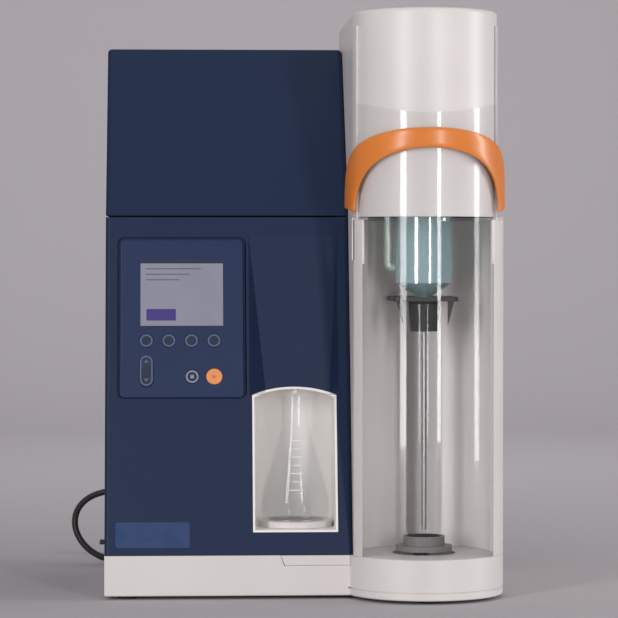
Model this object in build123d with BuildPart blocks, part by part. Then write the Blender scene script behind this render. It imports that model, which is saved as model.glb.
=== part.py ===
from build123d import *
import math
import os

# Kjeldahl distillation unit: blue case on the left with a flask bay and a control
# panel, and a white tower on the right with a sliding clear shield round the
# digestion tube. X points to the right, Y to the rear and Z up. The origin is on
# the table under the middle of the unit. All sizes are in millimetres.

os.makedirs("parts", exist_ok=True)

# Fits and clearances
seat_gap = 0.3
slide_clear = 0.4
pin_clear = 0.05

# Case, seen from the side as two leaning fronts with a seam between them
case_left = -233.75
case_width = 287.5
case_wall = 3.0
case_edge_r = 5.0
foot_y = -126.0
rear_y = 172.0
seam_y = -30.0
seam_z = 444.0
seam_gap = 2.0
cover_front_y = 100.0
case_top = 652.0
case_right = case_left + case_width

# Base tray and feet
base_bottom = 4.0
base_top = 51.0
base_wall = 4.0
base_edge_r = 4.0
foot_r = 12.0
foot_inset = 26.0
groove_z = 12.5
groove_height = 1.2
groove_depth = 1.2

# Tower, round its own upright axis
tower_gap = 1.0
tower_y = -98.0
housing_r = 92.5
housing_wall = 4.2
wing_half_angle = 55.0
wing_top = 388.0
housing_top = 443.0
sleeve_step = 8.0
sleeve_r = housing_r - sleeve_step
tower_x = case_right + tower_gap + sleeve_r
sleeve_wall = 3.0
sleeve_top = 682.0
sleeve_edge_r = 5.0
case_side_gap = 0.8
housing_side_wall = 1.8
chamber_step = 14.5
chamber_r = housing_r - chamber_step
chamber_wall = 3.0

# Safety shield and its handle
shield_clear = 0.8
shield_wall = 2.3
shield_half_angle = 68.0
shield_bottom = 51.6
shield_top = 574.0
shield_dip = 12.0
shield_travel = 230.0
rail_angle = 1.8
rail_gap_angle = 0.4
rail_top = 664.0
handle_clear = 0.9
handle_wall = 6.0
handle_low = 458.0
handle_rise = 87.4
handle_width = 22.4
handle_tip = 4.5
handle_power = 0.6

# Digestion tube, its stopper and its lift
tube_r = 21.0
tube_wall = 2.0
tube_bottom = 60.0
tube_length = 282.0
tube_rim_r = 23.0
tube_stroke = 34.0
stopper_top_r = 18.6
stopper_low_r = 16.0
stopper_length = 35.0
stopper_depth = 32.0
lift_plate_r = 33.0
lift_plate_t = 6.0
lift_cup_height = 11.0
lift_arm_width = 18.0
lift_rod_r = 5.0
lift_gap = 14.0
lift_reach = chamber_r + chamber_wall + lift_gap
lift_block = 24.0
well_r = 37.0
well_floor = 8.0

# Splash head over the stopper
splash_r = 34.0
splash_wall = 2.2
splash_length = 190.0
splash_neck_r = 8.0
splash_cone = 16.0

# Flask bay in the case front
bay_left = case_left + 172.0
bay_width = 99.5
bay_bottom = 77.0
bay_side_top = 235.0
bay_arch = 9.0
bay_depth = 112.0
bay_wall = 2.5

# Hollow scoop above the bay
scoop_left = case_left + 169.0
scoop_width = 105.0
scoop_top = 423.0
scoop_depth = 16.0
scoop_left_slope = 20.0
scoop_right_slope = 10.0

# Receiver flask
flask_x = bay_left + 52.0
flask_y = -62.0
flask_r = 41.0
flask_height = 145.0
flask_wall = 1.8
flask_neck_r = 17.0
flask_rim_r = 20.0
flask_stand_r = 44.0
flask_stand_height = 7.0

# Control panel on the leaning front; heights are taken along Z
panel_left = case_left + 14.0
panel_width = 152.0
panel_low_z = 231.0
panel_high_z = 420.0
panel_gap = 3.0
panel_proud = 2.5
panel_depth = 14.0
panel_face_t = 5.0
panel_edge_r = 2.2
panel_corner_r = 5.0
screen_left = case_left + 41.0
screen_width = 98.0
screen_low_z = 315.0
screen_high_z = 389.0
screen_t = 1.6
key_r = 8.2
key_clear = 0.25
key_proud = 0.8
key_travel = 1.2
key_row_z = 298.0
key_pitch = 26.5
key_count = 4
key_first_x = case_left + 48.3
command_z = 256.0
stop_x = case_left + 102.0
start_x = case_left + 128.0
start_r = 9.4
rocker_width = 16.0
rocker_height = 37.0
rocker_z = 262.0
board_t = 1.6

# Drip tray under the flask bay
tray_left = case_left + 204.0
tray_right = case_right - 3.0
tray_slant = 5.0
tray_height = 11.5
tray_depth = 112.0
tray_wall = 2.0
tray_travel = 80.0

# Values worked out from the sizes above
lean_slope = (seam_y - foot_y) / (seam_z - base_top)
lean_angle = math.atan(lean_slope)
face_plane = Plane(
    origin=(0, foot_y, base_top),
    x_dir=(1, 0, 0),
    z_dir=(0, -math.cos(lean_angle), math.sin(lean_angle)),
)
cover_lean = (cover_front_y - seam_y) / (case_top - seam_z)
shield_in_r = sleeve_r + shield_clear
shield_out_r = shield_in_r + shield_wall
handle_in_r = shield_out_r + handle_clear
handle_out_r = handle_in_r + handle_wall
tube_top = tube_bottom + tube_length
stopper_bottom = tube_top - stopper_depth
stopper_top = stopper_bottom + stopper_length


def lean_y(z):
    """Y of the leaning lower front at height z."""
    return foot_y + (z - base_top) * lean_slope


def face_v(z):
    """Distance up the leaning front for height z."""
    return (z - base_top) / math.cos(lean_angle)


def write(part, label):
    part.label = label
    export_step(part, f"parts/{label}.step")


def case_profile(inset, rear, low, high):
    """Side outline of the lower case, inset from the leaning front."""
    shift = inset / math.cos(lean_angle)
    return [
        (lean_y(low) + shift, low),
        (lean_y(high) + shift, high),
        (rear, high),
        (rear, low),
    ]


def scoop_section(z, depth, grow):
    """Plan outline of the scoop at one height, open towards the front."""
    face = lean_y(z)
    share = depth / scoop_depth
    left = scoop_left - grow
    right = scoop_left + scoop_width + grow
    back = face + depth + grow
    back_left = left + scoop_left_slope * share
    back_right = right - scoop_right_slope * share
    outside = face - 3 * scoop_depth
    Polyline((back_right, back), (right, face), (right, outside), (left, outside),
             (left, face), (back_left, back), close=True)


def scoop_cut(grow, mode):
    """Hollow that starts at nothing below the seam and deepens to the bay."""
    with BuildSketch(Plane.XY.offset(bay_side_top)) as low:
        with BuildLine():
            scoop_section(bay_side_top, scoop_depth, grow)
        make_face()
    with BuildSketch(Plane.XY.offset(scoop_top)) as high:
        with BuildLine():
            scoop_section(scoop_top, scoop_depth / 60, grow)
        make_face()
    return loft([low.sketch.face(), high.sketch.face()], ruled=True, mode=mode)


def bay_outline(grow):
    """Front view of the bay: a tall window with a low arch."""
    left = bay_left - grow
    right = bay_left + bay_width + grow
    low = bay_bottom - grow
    side = bay_side_top + grow
    Line((left, side), (left, low))
    Line((left, low), (right, low))
    Line((right, low), (right, side))
    ThreePointArc((right, side), ((left + right) / 2, side + bay_arch), (left, side))


# Base tray: a moulded slab with a round nose under the tower
base_low = base_bottom
well_z = base_bottom + well_floor
with BuildPart() as base_tray:
    with BuildSketch(Plane.XY.offset(base_low)):
        base_right = tower_x + housing_r
        with Locations(((case_left + tower_x) / 2, (foot_y + rear_y) / 2)):
            Rectangle(tower_x - case_left, rear_y - foot_y)
        with Locations(((case_left + base_right) / 2, (tower_y + rear_y) / 2)):
            Rectangle(base_right - case_left, rear_y - tower_y)
        with Locations((tower_x, tower_y)):
            Circle(housing_r)
    extrude(amount=base_top - base_low)
    fillet(base_tray.edges().filter_by(Axis.Z).group_by(Axis.Y)[-1], base_edge_r)
    fillet(base_tray.faces().sort_by(Axis.Z)[0].edges(), base_edge_r / 2)
    with BuildSketch(Plane.XY.offset(groove_z)):
        with Locations((tower_x, tower_y)):
            Circle(housing_r + 2 * groove_depth)
            Circle(housing_r - groove_depth, mode=Mode.SUBTRACT)
        with Locations((tower_x, tower_y + housing_r)):
            Rectangle(4 * housing_r, 2 * housing_r - (foot_y - tower_y), mode=Mode.SUBTRACT)
    extrude(amount=groove_height, mode=Mode.SUBTRACT)
    # Well that the tube lift goes down into
    with BuildSketch(Plane.XY.offset(well_z)):
        with Locations((tower_x, tower_y)):
            Circle(well_r)
        slot_length = lift_reach + lift_block / 2 + 2 * slide_clear
        with Locations((tower_x, tower_y + slot_length / 2)):
            Rectangle(lift_arm_width + 2 * slide_clear, slot_length)
    extrude(amount=base_top - well_z, mode=Mode.SUBTRACT)
    # Bed that the drip tray slides in
    with BuildSketch(Plane.XZ.offset(-foot_y)):
        with BuildLine():
            bed = slide_clear
            tray_low = base_top - tray_height
            Polyline(
                (tray_left - 2 * bed, base_top + 1),
                (tray_left - 2 * bed + tray_slant, tray_low - bed),
                (tray_right + bed, tray_low - bed),
                (tray_right + bed, base_top + 1),
                close=True,
            )
        make_face()
    extrude(amount=-(tray_depth + bed), mode=Mode.SUBTRACT)
write(base_tray.part, "base_tray")

# Rubber feet, one at each corner and one under the nose
foot_spots = {
    "foot_front_left": (case_left + foot_inset, foot_y + foot_inset),
    "foot_front_middle": (case_right - foot_inset, foot_y + foot_inset),
    "foot_rear_left": (case_left + foot_inset, rear_y - foot_inset),
    "foot_rear_right": (base_right - foot_inset, rear_y - foot_inset),
    "foot_nose": (tower_x, tower_y - housing_r + foot_inset),
}
for foot_name, spot in foot_spots.items():
    with BuildPart() as foot:
        with BuildSketch():
            with Locations(spot):
                Circle(foot_r)
        extrude(amount=base_bottom)
        chamfer(foot.faces().sort_by(Axis.Z)[0].edges(), 0.8)
    write(foot.part, foot_name)

# Hollow of the lower case, kept clear of the wall behind the scoop
with BuildPart() as case_hollow:
    with BuildSketch(Plane.YZ.offset(case_left + case_wall)):
        with BuildLine():
            Polyline(*case_profile(case_wall, rear_y + 5, base_top - 5, seam_z + 5), close=True)
        make_face()
    extrude(amount=case_width - 2 * case_wall)
    scoop_cut(case_wall, Mode.SUBTRACT)

# Lower case: leaning front and two sides in one moulding
case_low = base_top + seat_gap
with BuildPart() as front_cover:
    with BuildSketch(Plane.YZ.offset(case_left)):
        with BuildLine():
            Polyline(*case_profile(0, rear_y, case_low, seam_z), close=True)
        make_face()
    extrude(amount=case_width)
    front_face = front_cover.faces().sort_by(Axis.Y)[0]
    fillet(front_face.edges().filter_by(lambda e: abs(e.tangent_at(0.5).X) < 0.5), case_edge_r)
    add(case_hollow.part, mode=Mode.SUBTRACT)
    scoop_cut(0, Mode.SUBTRACT)
    # Window into the flask bay
    with BuildSketch(Plane.XZ.offset(-foot_y + 20)):
        with BuildLine():
            bay_outline(0)
        make_face()
    extrude(amount=-(20 + bay_depth), mode=Mode.SUBTRACT)
    # Opening for the control panel
    with BuildSketch(face_plane):
        panel_mid_x = panel_left + panel_width / 2
        panel_mid_v = (face_v(panel_low_z) + face_v(panel_high_z)) / 2
        panel_tall = face_v(panel_high_z) - face_v(panel_low_z)
        with Locations((panel_mid_x, panel_mid_v)):
            RectangleRounded(panel_width, panel_tall, panel_corner_r + panel_gap)
    extrude(amount=2 * case_wall, both=True, mode=Mode.SUBTRACT)
write(front_cover.part, "front_cover")

# Upper cover: leaning front, flat top and rear wall, open below
cover_low = seam_z + seam_gap


def cover_profile(inset, low):
    """Side outline of the upper cover, inset from its walls."""
    shift = inset / math.cos(math.atan(cover_lean))
    front_low = seam_y + shift + (low - seam_z) * cover_lean
    front_high = cover_front_y + shift - inset * cover_lean
    return [
        (front_low, low),
        (front_high, case_top - inset),
        (rear_y - inset, case_top - inset),
        (rear_y - inset, low),
    ]


with BuildPart() as top_cover:
    with BuildSketch(Plane.YZ.offset(case_left)):
        with BuildLine():
            Polyline(*cover_profile(0, cover_low), close=True)
        make_face()
    extrude(amount=case_width)
    leaning = top_cover.faces().sort_by(Axis.Y)[0].edges()
    lid = top_cover.faces().sort_by(Axis.Z)[-1].edges()
    low_edges = top_cover.edges().group_by(Axis.Z)[0]
    soft = [e for e in leaning + lid if e not in low_edges]
    fillet(set(soft), case_edge_r)
    with BuildSketch(Plane.YZ.offset(case_left + case_wall)):
        with BuildLine():
            Polyline(*cover_profile(case_wall, cover_low - 5), close=True)
        make_face()
    extrude(amount=case_width - 2 * case_wall, mode=Mode.SUBTRACT)

# Hinges behind the seam: a fixed leaf on the rear panel, a moving one on the cover
hinge_y = rear_y + 4.4
hinge_z = seam_z + 1.0
hinge_r = 4.0
hinge_pin_r = 1.6
hinge_width = 40.0
hinge_middle = 15.0
hinge_leaf_t = 1.6
hinge_leaf_height = 20.0
hinge_xs = (case_left + 45.0, case_right - 45.0)


def knuckle(x_low, length):
    with BuildSketch(Plane.YZ.offset(x_low)) as ring:
        with Locations((hinge_y, hinge_z)):
            Circle(hinge_r)
    extrude(ring.sketch, amount=length)


def hinge_leaf(x_low, length, side):
    """Flat leaf on the rear face, above the pin with side 1 or below it with -1."""
    with BuildSketch(Plane.YZ.offset(x_low)) as leaf:
        inner = rear_y + (seat_gap if side < 0 else 0)
        with Locations(((inner + hinge_y) / 2, hinge_z + side * hinge_r / 2)):
            Rectangle(hinge_y - inner, hinge_r)
        with Locations((inner + hinge_leaf_t / 2, hinge_z + side * hinge_leaf_height / 2)):
            Rectangle(hinge_leaf_t, hinge_leaf_height - 2 * seam_gap)
    extrude(leaf.sketch, amount=length)


for side_name, hinge_x in zip(("left", "right"), hinge_xs):
    outer = (hinge_width - hinge_middle) / 2 - seat_gap
    starts = (hinge_x - hinge_width / 2, hinge_x + hinge_width / 2 - outer)
    with BuildPart() as hinge_base:
        for start in starts:
            knuckle(start, outer)
            hinge_leaf(start, outer, -1)
        with BuildSketch(Plane.YZ.offset(hinge_x - hinge_width)):
            with Locations((hinge_y, hinge_z)):
                Circle(hinge_pin_r + pin_clear)
        extrude(amount=2 * hinge_width, mode=Mode.SUBTRACT)
        with BuildSketch(Plane.XZ.offset(-rear_y - seat_gap)):
            with Locations((hinge_x, hinge_z - hinge_leaf_height * 0.7)):
                Rectangle(hinge_width, hinge_leaf_height * 0.4)
        extrude(amount=-hinge_leaf_t)
    write(hinge_base.part, f"hinge_base_{side_name}")
    with BuildPart() as hinge_part:
        middle_low = hinge_x - hinge_middle / 2
        knuckle(middle_low, hinge_middle)
        hinge_leaf(middle_low, hinge_middle, 1)
        with BuildSketch(Plane.YZ.offset(hinge_x - hinge_width / 2)):
            with Locations((hinge_y, hinge_z)):
                Circle(hinge_pin_r)
        extrude(amount=hinge_width)
    write(hinge_part.part, f"hinge_leaf_{side_name}")
write(top_cover.part, "top_cover")

# Rear panel between the two case sides
panel_t = 2.5
inlet_x = case_left + 42.0
inlet_z = 95.0
inlet_width = 50.0
inlet_height = 27.0
barb_z = 150.0
barb_pitch = 34.0
barb_x = case_left + 150.0
barb_names = ("water_inlet", "water_outlet", "reagent_inlet", "drain_outlet")
barb_r = 5.0
barb_bore = 1.9
barb_length = 20.5
barb_flange_r = 9.0
vent_count = 9
with BuildPart() as rear_panel:
    with BuildSketch(Plane.XZ.offset(-rear_y)):
        panel_low = base_top + seat_gap
        with Locations(((case_left + case_right) / 2, (panel_low + seam_z) / 2)):
            Rectangle(case_width - 2 * (case_wall + seat_gap), seam_z - panel_low)
        with Locations((inlet_x, inlet_z)):
            Rectangle(inlet_width, inlet_height, mode=Mode.SUBTRACT)
        for index in range(len(barb_names)):
            with Locations((barb_x + index * barb_pitch, barb_z)):
                Circle(barb_r + seat_gap, mode=Mode.SUBTRACT)
        with Locations(((case_left + case_right) / 2, seam_z - 120)):
            with GridLocations(0, 12, 1, vent_count):
                SlotOverall(130, 4.5, mode=Mode.SUBTRACT)
    extrude(amount=panel_t)
write(rear_panel.part, "rear_panel")

for index, barb_name in enumerate(barb_names):
    with BuildPart() as barb:
        with BuildSketch(Plane.XZ.offset(-rear_y)) as flange:
            with Locations((barb_x + index * barb_pitch, barb_z)):
                Circle(barb_flange_r)
        extrude(amount=-4)
        with BuildSketch(Plane.XZ.offset(-rear_y + 8)):
            with Locations((barb_x + index * barb_pitch, barb_z)):
                Circle(barb_r)
        extrude(amount=-(barb_length + 8))
        with BuildSketch(Plane.XZ.offset(-rear_y - 11)):
            with Locations((barb_x + index * barb_pitch, barb_z)):
                Circle(barb_r + 0.8)
        extrude(amount=-3, taper=12)
        with BuildSketch(Plane.XZ.offset(-rear_y + 9)):
            with Locations((barb_x + index * barb_pitch, barb_z)):
                Circle(barb_bore)
        extrude(amount=-(barb_length + 12), mode=Mode.SUBTRACT)
    write(barb.part, barb_name)

# Mains inlet with its three pins, and the rocker switch beside it
inlet_depth = 24.0
switch_width = 18.0
switch_height = 20.0
switch_t = 7.0
switch_tilt = 9.0
switch_pin_r = 1.5
socket_width = 25.0
socket_height = 17.0
switch_x = inlet_x + inlet_width / 2 - switch_width / 2 - 2.5
socket_x = inlet_x - inlet_width / 2 + socket_width / 2 + 1.5
with BuildPart() as mains_inlet:
    with BuildSketch(Plane.XZ.offset(-rear_y)):
        with Locations((inlet_x, inlet_z)):
            RectangleRounded(inlet_width + 8, inlet_height + 6, 3)
    extrude(amount=-2)
    with BuildSketch(Plane.XZ.offset(-rear_y)):
        with Locations((inlet_x, inlet_z)):
            Rectangle(inlet_width - 2 * seat_gap, inlet_height - 2 * seat_gap)
    extrude(amount=inlet_depth)
    with BuildSketch(Plane.XZ.offset(-rear_y - 2)):
        with Locations((socket_x, inlet_z)):
            Rectangle(socket_width, socket_height)
        with Locations((switch_x, inlet_z)):
            Rectangle(switch_width, switch_height)
    extrude(amount=inlet_depth - 6, mode=Mode.SUBTRACT)
    with BuildSketch(Plane.XZ.offset(-rear_y + inlet_depth - 6)):
        with Locations((socket_x, inlet_z - 2), (socket_x - 7, inlet_z + 3), (socket_x + 7, inlet_z + 3)):
            Rectangle(2, 4)
    extrude(amount=-(inlet_depth - 9))
    with BuildSketch(Plane.YZ.offset(switch_x - switch_width / 2 - 2)):
        with Locations((rear_y - 2, inlet_z)):
            Circle(switch_pin_r + pin_clear)
    extrude(amount=switch_width + 4, mode=Mode.SUBTRACT)
write(mains_inlet.part, "mains_inlet")

with BuildPart() as mains_switch:
    with BuildSketch(Plane.YZ.offset(switch_x - switch_width / 2 + 1)):
        with BuildLine():
            half = switch_height / 2 - 1.6
            Polyline(
                (rear_y - switch_t, inlet_z - half + 2),
                (rear_y + 2.6, inlet_z - half),
                (rear_y + 1.2, inlet_z),
                (rear_y + 2.6, inlet_z + half),
                (rear_y - switch_t, inlet_z + half - 2),
                close=True,
            )
        make_face()
    extrude(amount=switch_width - 2)
    with BuildSketch(Plane.YZ.offset(switch_x - switch_width / 2 - 1)):
        with Locations((rear_y - 2, inlet_z)):
            Circle(switch_pin_r)
    extrude(amount=switch_width + 2)
write(mains_switch.part, "mains_switch")

# White liner of the flask bay, its front edge flush with the leaning front
bay_back_y = foot_y + bay_depth
with BuildPart() as flask_bay_liner:
    with BuildSketch(Plane.XZ.offset(-foot_y + 20)):
        with BuildLine():
            bay_outline(-seat_gap)
        make_face()
    extrude(amount=-(20 + bay_depth))
    with BuildSketch(Plane.XZ.offset(-foot_y + 20)):
        with BuildLine():
            bay_outline(-seat_gap - bay_wall)
        make_face()
    extrude(amount=-(20 + bay_depth - bay_wall), mode=Mode.SUBTRACT)
    with BuildSketch(face_plane):
        with Locations((0, face_v(bay_side_top))):
            Rectangle(8 * bay_width, 8 * bay_side_top)
    extrude(amount=bay_depth, mode=Mode.SUBTRACT)
    scoop_cut(seat_gap, Mode.SUBTRACT)
    # Hole for the outlet tube in the ceiling
    outlet_y = flask_y + 8
    outlet_r = 4.0
    with BuildSketch(Plane.XY.offset(bay_side_top - 10)):
        with Locations((flask_x, outlet_y)):
            Circle(outlet_r + seat_gap)
    extrude(amount=30, mode=Mode.SUBTRACT)
write(flask_bay_liner.part, "flask_bay_liner")

# Round stand that the flask sits on
stand_low = bay_bottom + seat_gap + bay_wall + seat_gap
stand_top = stand_low + flask_stand_height
with BuildPart() as flask_platform:
    with BuildSketch(Plane.XY.offset(stand_low)):
        with Locations((flask_x, flask_y)):
            Circle(flask_stand_r)
    extrude(amount=flask_stand_height)
    chamfer(flask_platform.faces().sort_by(Axis.Z)[-1].edges(), 1)
    with BuildSketch(Plane.XY.offset(stand_top)):
        with Locations((flask_x, flask_y)):
            with PolarLocations(flask_stand_r * 0.55, 6):
                Circle(6)
    extrude(amount=-2.5, mode=Mode.SUBTRACT)
write(flask_platform.part, "flask_platform")

# Conical receiver flask
with BuildPart() as receiver_flask:
    with BuildSketch(Plane.XZ.offset(-flask_y)):
        with BuildLine():
            low = stand_top + seat_gap
            shoulder = low + 0.17 * flask_height
            neck_low = low + 0.76 * flask_height
            top = low + flask_height
            Polyline(
                (flask_x, low),
                (flask_x + flask_r - 8, low),
                (flask_x + flask_r - 2, low + 3),
                (flask_x + flask_r, low + 10),
                (flask_x + flask_r, shoulder),
                (flask_x + flask_neck_r, neck_low),
                (flask_x + flask_neck_r, top - 4),
                (flask_x + flask_rim_r, top - 4),
                (flask_x + flask_rim_r, top),
                (flask_x, top),
                close=True,
            )
        make_face()
    revolve(axis=Axis((flask_x, flask_y, 0), (0, 0, 1)))
    with BuildSketch(Plane.XZ.offset(-flask_y)):
        with BuildLine():
            wall = flask_wall
            Polyline(
                (flask_x, low + wall),
                (flask_x + flask_r - 8, low + wall),
                (flask_x + flask_r - wall, low + 8),
                (flask_x + flask_r - wall, shoulder - 3),
                (flask_x + flask_neck_r - wall, neck_low - 1),
                (flask_x + flask_neck_r - wall, top + 1),
                (flask_x, top + 1),
                close=True,
            )
        make_face()
    revolve(axis=Axis((flask_x, flask_y, 0), (0, 0, 1)), mode=Mode.SUBTRACT)
write(receiver_flask.part, "receiver_flask")

# Control panel: a pod set into the case front, on the leaning plane
pod_width = panel_width - 2 * panel_gap
pod_low_v = face_v(panel_low_z)
pod_high_v = face_v(panel_high_z) - panel_gap
pod_mid_v = (pod_low_v + pod_high_v) / 2 + seat_gap
pod_tall = pod_high_v - pod_low_v
screen_mid_x = screen_left + screen_width / 2
screen_mid_v = (face_v(screen_low_z) + face_v(screen_high_z)) / 2
screen_tall = face_v(screen_high_z) - face_v(screen_low_z)
key_xs = [key_first_x + index * key_pitch for index in range(key_count)]
rocker_x = key_first_x
rocker_pin_r = 1.2
pod_flange = 4.0
pod_flange_t = 2.0
rocker_pin_length = 1.5
rocker_depth = 1.0
rocker_tilt = 2.0
key_flange = 1.6
key_flange_t = 1.4
face_back = panel_proud - panel_face_t


def face_at(height):
    """Plane parallel to the leaning front, raised outwards by height."""
    return face_plane.offset(height)


with BuildPart() as control_bezel:
    with BuildSketch(face_at(-panel_depth)):
        with Locations((panel_mid_x, pod_mid_v)):
            RectangleRounded(pod_width, pod_tall, panel_corner_r)
    extrude(amount=panel_depth + panel_proud)
    outer_face = control_bezel.faces().sort_by(Axis.Y)[0]
    fillet(outer_face.edges(), panel_edge_r)
    # Flange behind the case wall that holds the pod
    with BuildSketch(face_at(-case_wall - seat_gap - pod_flange_t)):
        flange_left = panel_left - pod_flange
        flange_right = panel_left + panel_width - 1
        with Locations(((flange_left + flange_right) / 2, panel_mid_v)):
            RectangleRounded(flange_right - flange_left, panel_tall + 2 * pod_flange, panel_corner_r)
    extrude(amount=pod_flange_t)
    with BuildSketch(face_at(-panel_depth)):
        with Locations((panel_mid_x, pod_mid_v)):
            Rectangle(pod_width - 2 * case_wall, pod_tall - 2 * case_wall)
    extrude(amount=panel_depth + face_back, mode=Mode.SUBTRACT)
    with BuildSketch(face_at(panel_proud)):
        with Locations((screen_mid_x, screen_mid_v)):
            Rectangle(screen_width, screen_tall)
    extrude(amount=-screen_t - 0.6, mode=Mode.SUBTRACT)
    with BuildSketch(face_at(panel_proud)):
        for key_x in key_xs:
            with Locations((key_x, face_v(key_row_z))):
                Circle(key_r + key_clear)
        with Locations((stop_x, face_v(command_z))):
            Circle(key_r + key_clear)
        with Locations((start_x, face_v(command_z))):
            Circle(start_r + key_clear)
        with Locations((rocker_x, face_v(rocker_z))):
            SlotOverall(rocker_height + 4 * key_clear, rocker_width + 4 * key_clear, 90)
    extrude(amount=-panel_face_t, mode=Mode.SUBTRACT)
    with BuildSketch(Plane(face_at(rocker_depth).origin + Vector(rocker_x - rocker_width, 0, 0)
                           + face_plane.y_dir * face_v(rocker_z), z_dir=(1, 0, 0))):
        Circle(rocker_pin_r + pin_clear)
    extrude(amount=2 * rocker_width, mode=Mode.SUBTRACT)
write(control_bezel.part, "control_bezel")

with BuildPart() as display_screen:
    with BuildSketch(face_at(panel_proud - screen_t - seat_gap)):
        with Locations((screen_mid_x, screen_mid_v)):
            Rectangle(screen_width - 2 * seat_gap, screen_tall - 2 * seat_gap)
    extrude(amount=screen_t)
write(display_screen.part, "display_screen")


def push_key(x, z, radius, label):
    with BuildPart() as key:
        with BuildSketch(face_at(face_back - seat_gap - key_flange_t)) as flange:
            with Locations((x, face_v(z))):
                Circle(radius + key_flange)
        extrude(flange.sketch, amount=key_flange_t)
        with BuildSketch(face_at(face_back - seat_gap)) as cap:
            with Locations((x, face_v(z))):
                Circle(radius)
        extrude(cap.sketch, amount=panel_face_t + seat_gap + key_proud)
        fillet(key.faces().sort_by(Axis.Y)[0].edges(), key_proud * 0.7)
    write(key.part, label)


for index, key_x in enumerate(key_xs):
    push_key(key_x, key_row_z, key_r, f"key_{index + 1}")
push_key(stop_x, command_z, key_r, "stop_key")
push_key(start_x, command_z, start_r, "start_key")

with BuildPart() as rocker_key:
    with BuildSketch(face_at(rocker_depth - 2.5)):
        with Locations((rocker_x, face_v(rocker_z))):
            SlotOverall(rocker_height, rocker_width, 90)
    extrude(amount=2.5 + key_proud + panel_proud - rocker_depth)
    with BuildSketch(Plane(face_at(rocker_depth).origin
                           + Vector(rocker_x - rocker_width / 2 - rocker_pin_length, 0, 0)
                           + face_plane.y_dir * face_v(rocker_z), z_dir=(1, 0, 0))):
        Circle(rocker_pin_r)
    extrude(amount=rocker_width + 2 * rocker_pin_length)
write(rocker_key.part, "rocker_key")

with BuildPart() as control_board:
    with BuildSketch(face_at(-panel_depth + 2)):
        with Locations((panel_mid_x, pod_mid_v)):
            Rectangle(pod_width - 2 * (case_wall + seat_gap), pod_tall - 2 * (case_wall + seat_gap))
    extrude(amount=board_t)
write(control_board.part, "control_board")

# Drip tray in its bed under the flask bay
tray_top = base_top - seat_gap / 2
with BuildPart() as drip_tray:
    with BuildSketch(Plane.XZ.offset(-foot_y)):
        with BuildLine():
            Polyline(
                (tray_left, tray_top),
                (tray_left + tray_slant, tray_low),
                (tray_right, tray_low),
                (tray_right, tray_top),
                close=True,
            )
        make_face()
    extrude(amount=-tray_depth)
    with BuildSketch(Plane.XY.offset(tray_low + tray_wall)):
        hollow_left = tray_left + tray_slant + tray_wall
        with Locations(((hollow_left + tray_right - tray_wall) / 2, foot_y + tray_depth / 2)):
            Rectangle(tray_right - tray_wall - hollow_left, tray_depth - 2 * tray_wall)
    extrude(amount=tray_height, mode=Mode.SUBTRACT)
write(drip_tray.part, "drip_tray")

# Tower housing: white shell round the tube chamber, closed to the rear
housing_left = case_right + case_side_gap
housing_in_r = housing_r - housing_wall
housing_low = base_top + seat_gap
deck_t = 3.0
deck_rim = 12.0
deck_hole_r = chamber_r - deck_rim


def housing_plan(radius, left, rear):
    """Half round front and square rear, cut flat beside the case."""
    with Locations((tower_x, tower_y)):
        Circle(radius)
    with Locations((tower_x, (tower_y + rear) / 2)):
        Rectangle(2 * radius, rear - tower_y)
    with Locations((left - housing_r, tower_y)):
        Rectangle(2 * housing_r, 8 * housing_r, mode=Mode.SUBTRACT)


with BuildPart() as tower_housing:
    with BuildSketch(Plane.XY.offset(housing_low)):
        housing_plan(housing_r, housing_left, rear_y)
    extrude(amount=housing_top - housing_low)
    fillet(tower_housing.edges().filter_by(Axis.Z).group_by(Axis.Y)[-1], base_edge_r)
    with BuildSketch(Plane.XY.offset(housing_low)):
        housing_plan(housing_in_r, housing_left + housing_side_wall, rear_y - housing_wall)
    extrude(amount=housing_top - deck_t - housing_low, mode=Mode.SUBTRACT)
    with BuildSketch(Plane.XY.offset(housing_top)):
        with Locations((tower_x, tower_y)):
            Circle(deck_hole_r)
    extrude(amount=-2 * deck_t, mode=Mode.SUBTRACT)
    # Front opening between the two wings, whose tops sweep outwards
    with BuildSketch(Plane.XZ.offset(-tower_y)):
        with BuildLine():
            half = housing_r * math.sin(math.radians(wing_half_angle))
            out = housing_r + 2
            sweep_top = wing_top + 24
            low = housing_low - 5
            high = housing_top + 5
            Polyline((tower_x - half, wing_top), (tower_x - half, low),
                     (tower_x + half, low), (tower_x + half, wing_top))
            RadiusArc((tower_x + half, wing_top), (tower_x + out, sweep_top), -30)
            Polyline((tower_x + out, sweep_top), (tower_x + out, high),
                     (tower_x - out, high), (tower_x - out, sweep_top))
            RadiusArc((tower_x - out, sweep_top), (tower_x - half, wing_top), -30)
        make_face()
    extrude(amount=2 * housing_r, mode=Mode.SUBTRACT)
write(tower_housing.part, "tower_housing")

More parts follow.
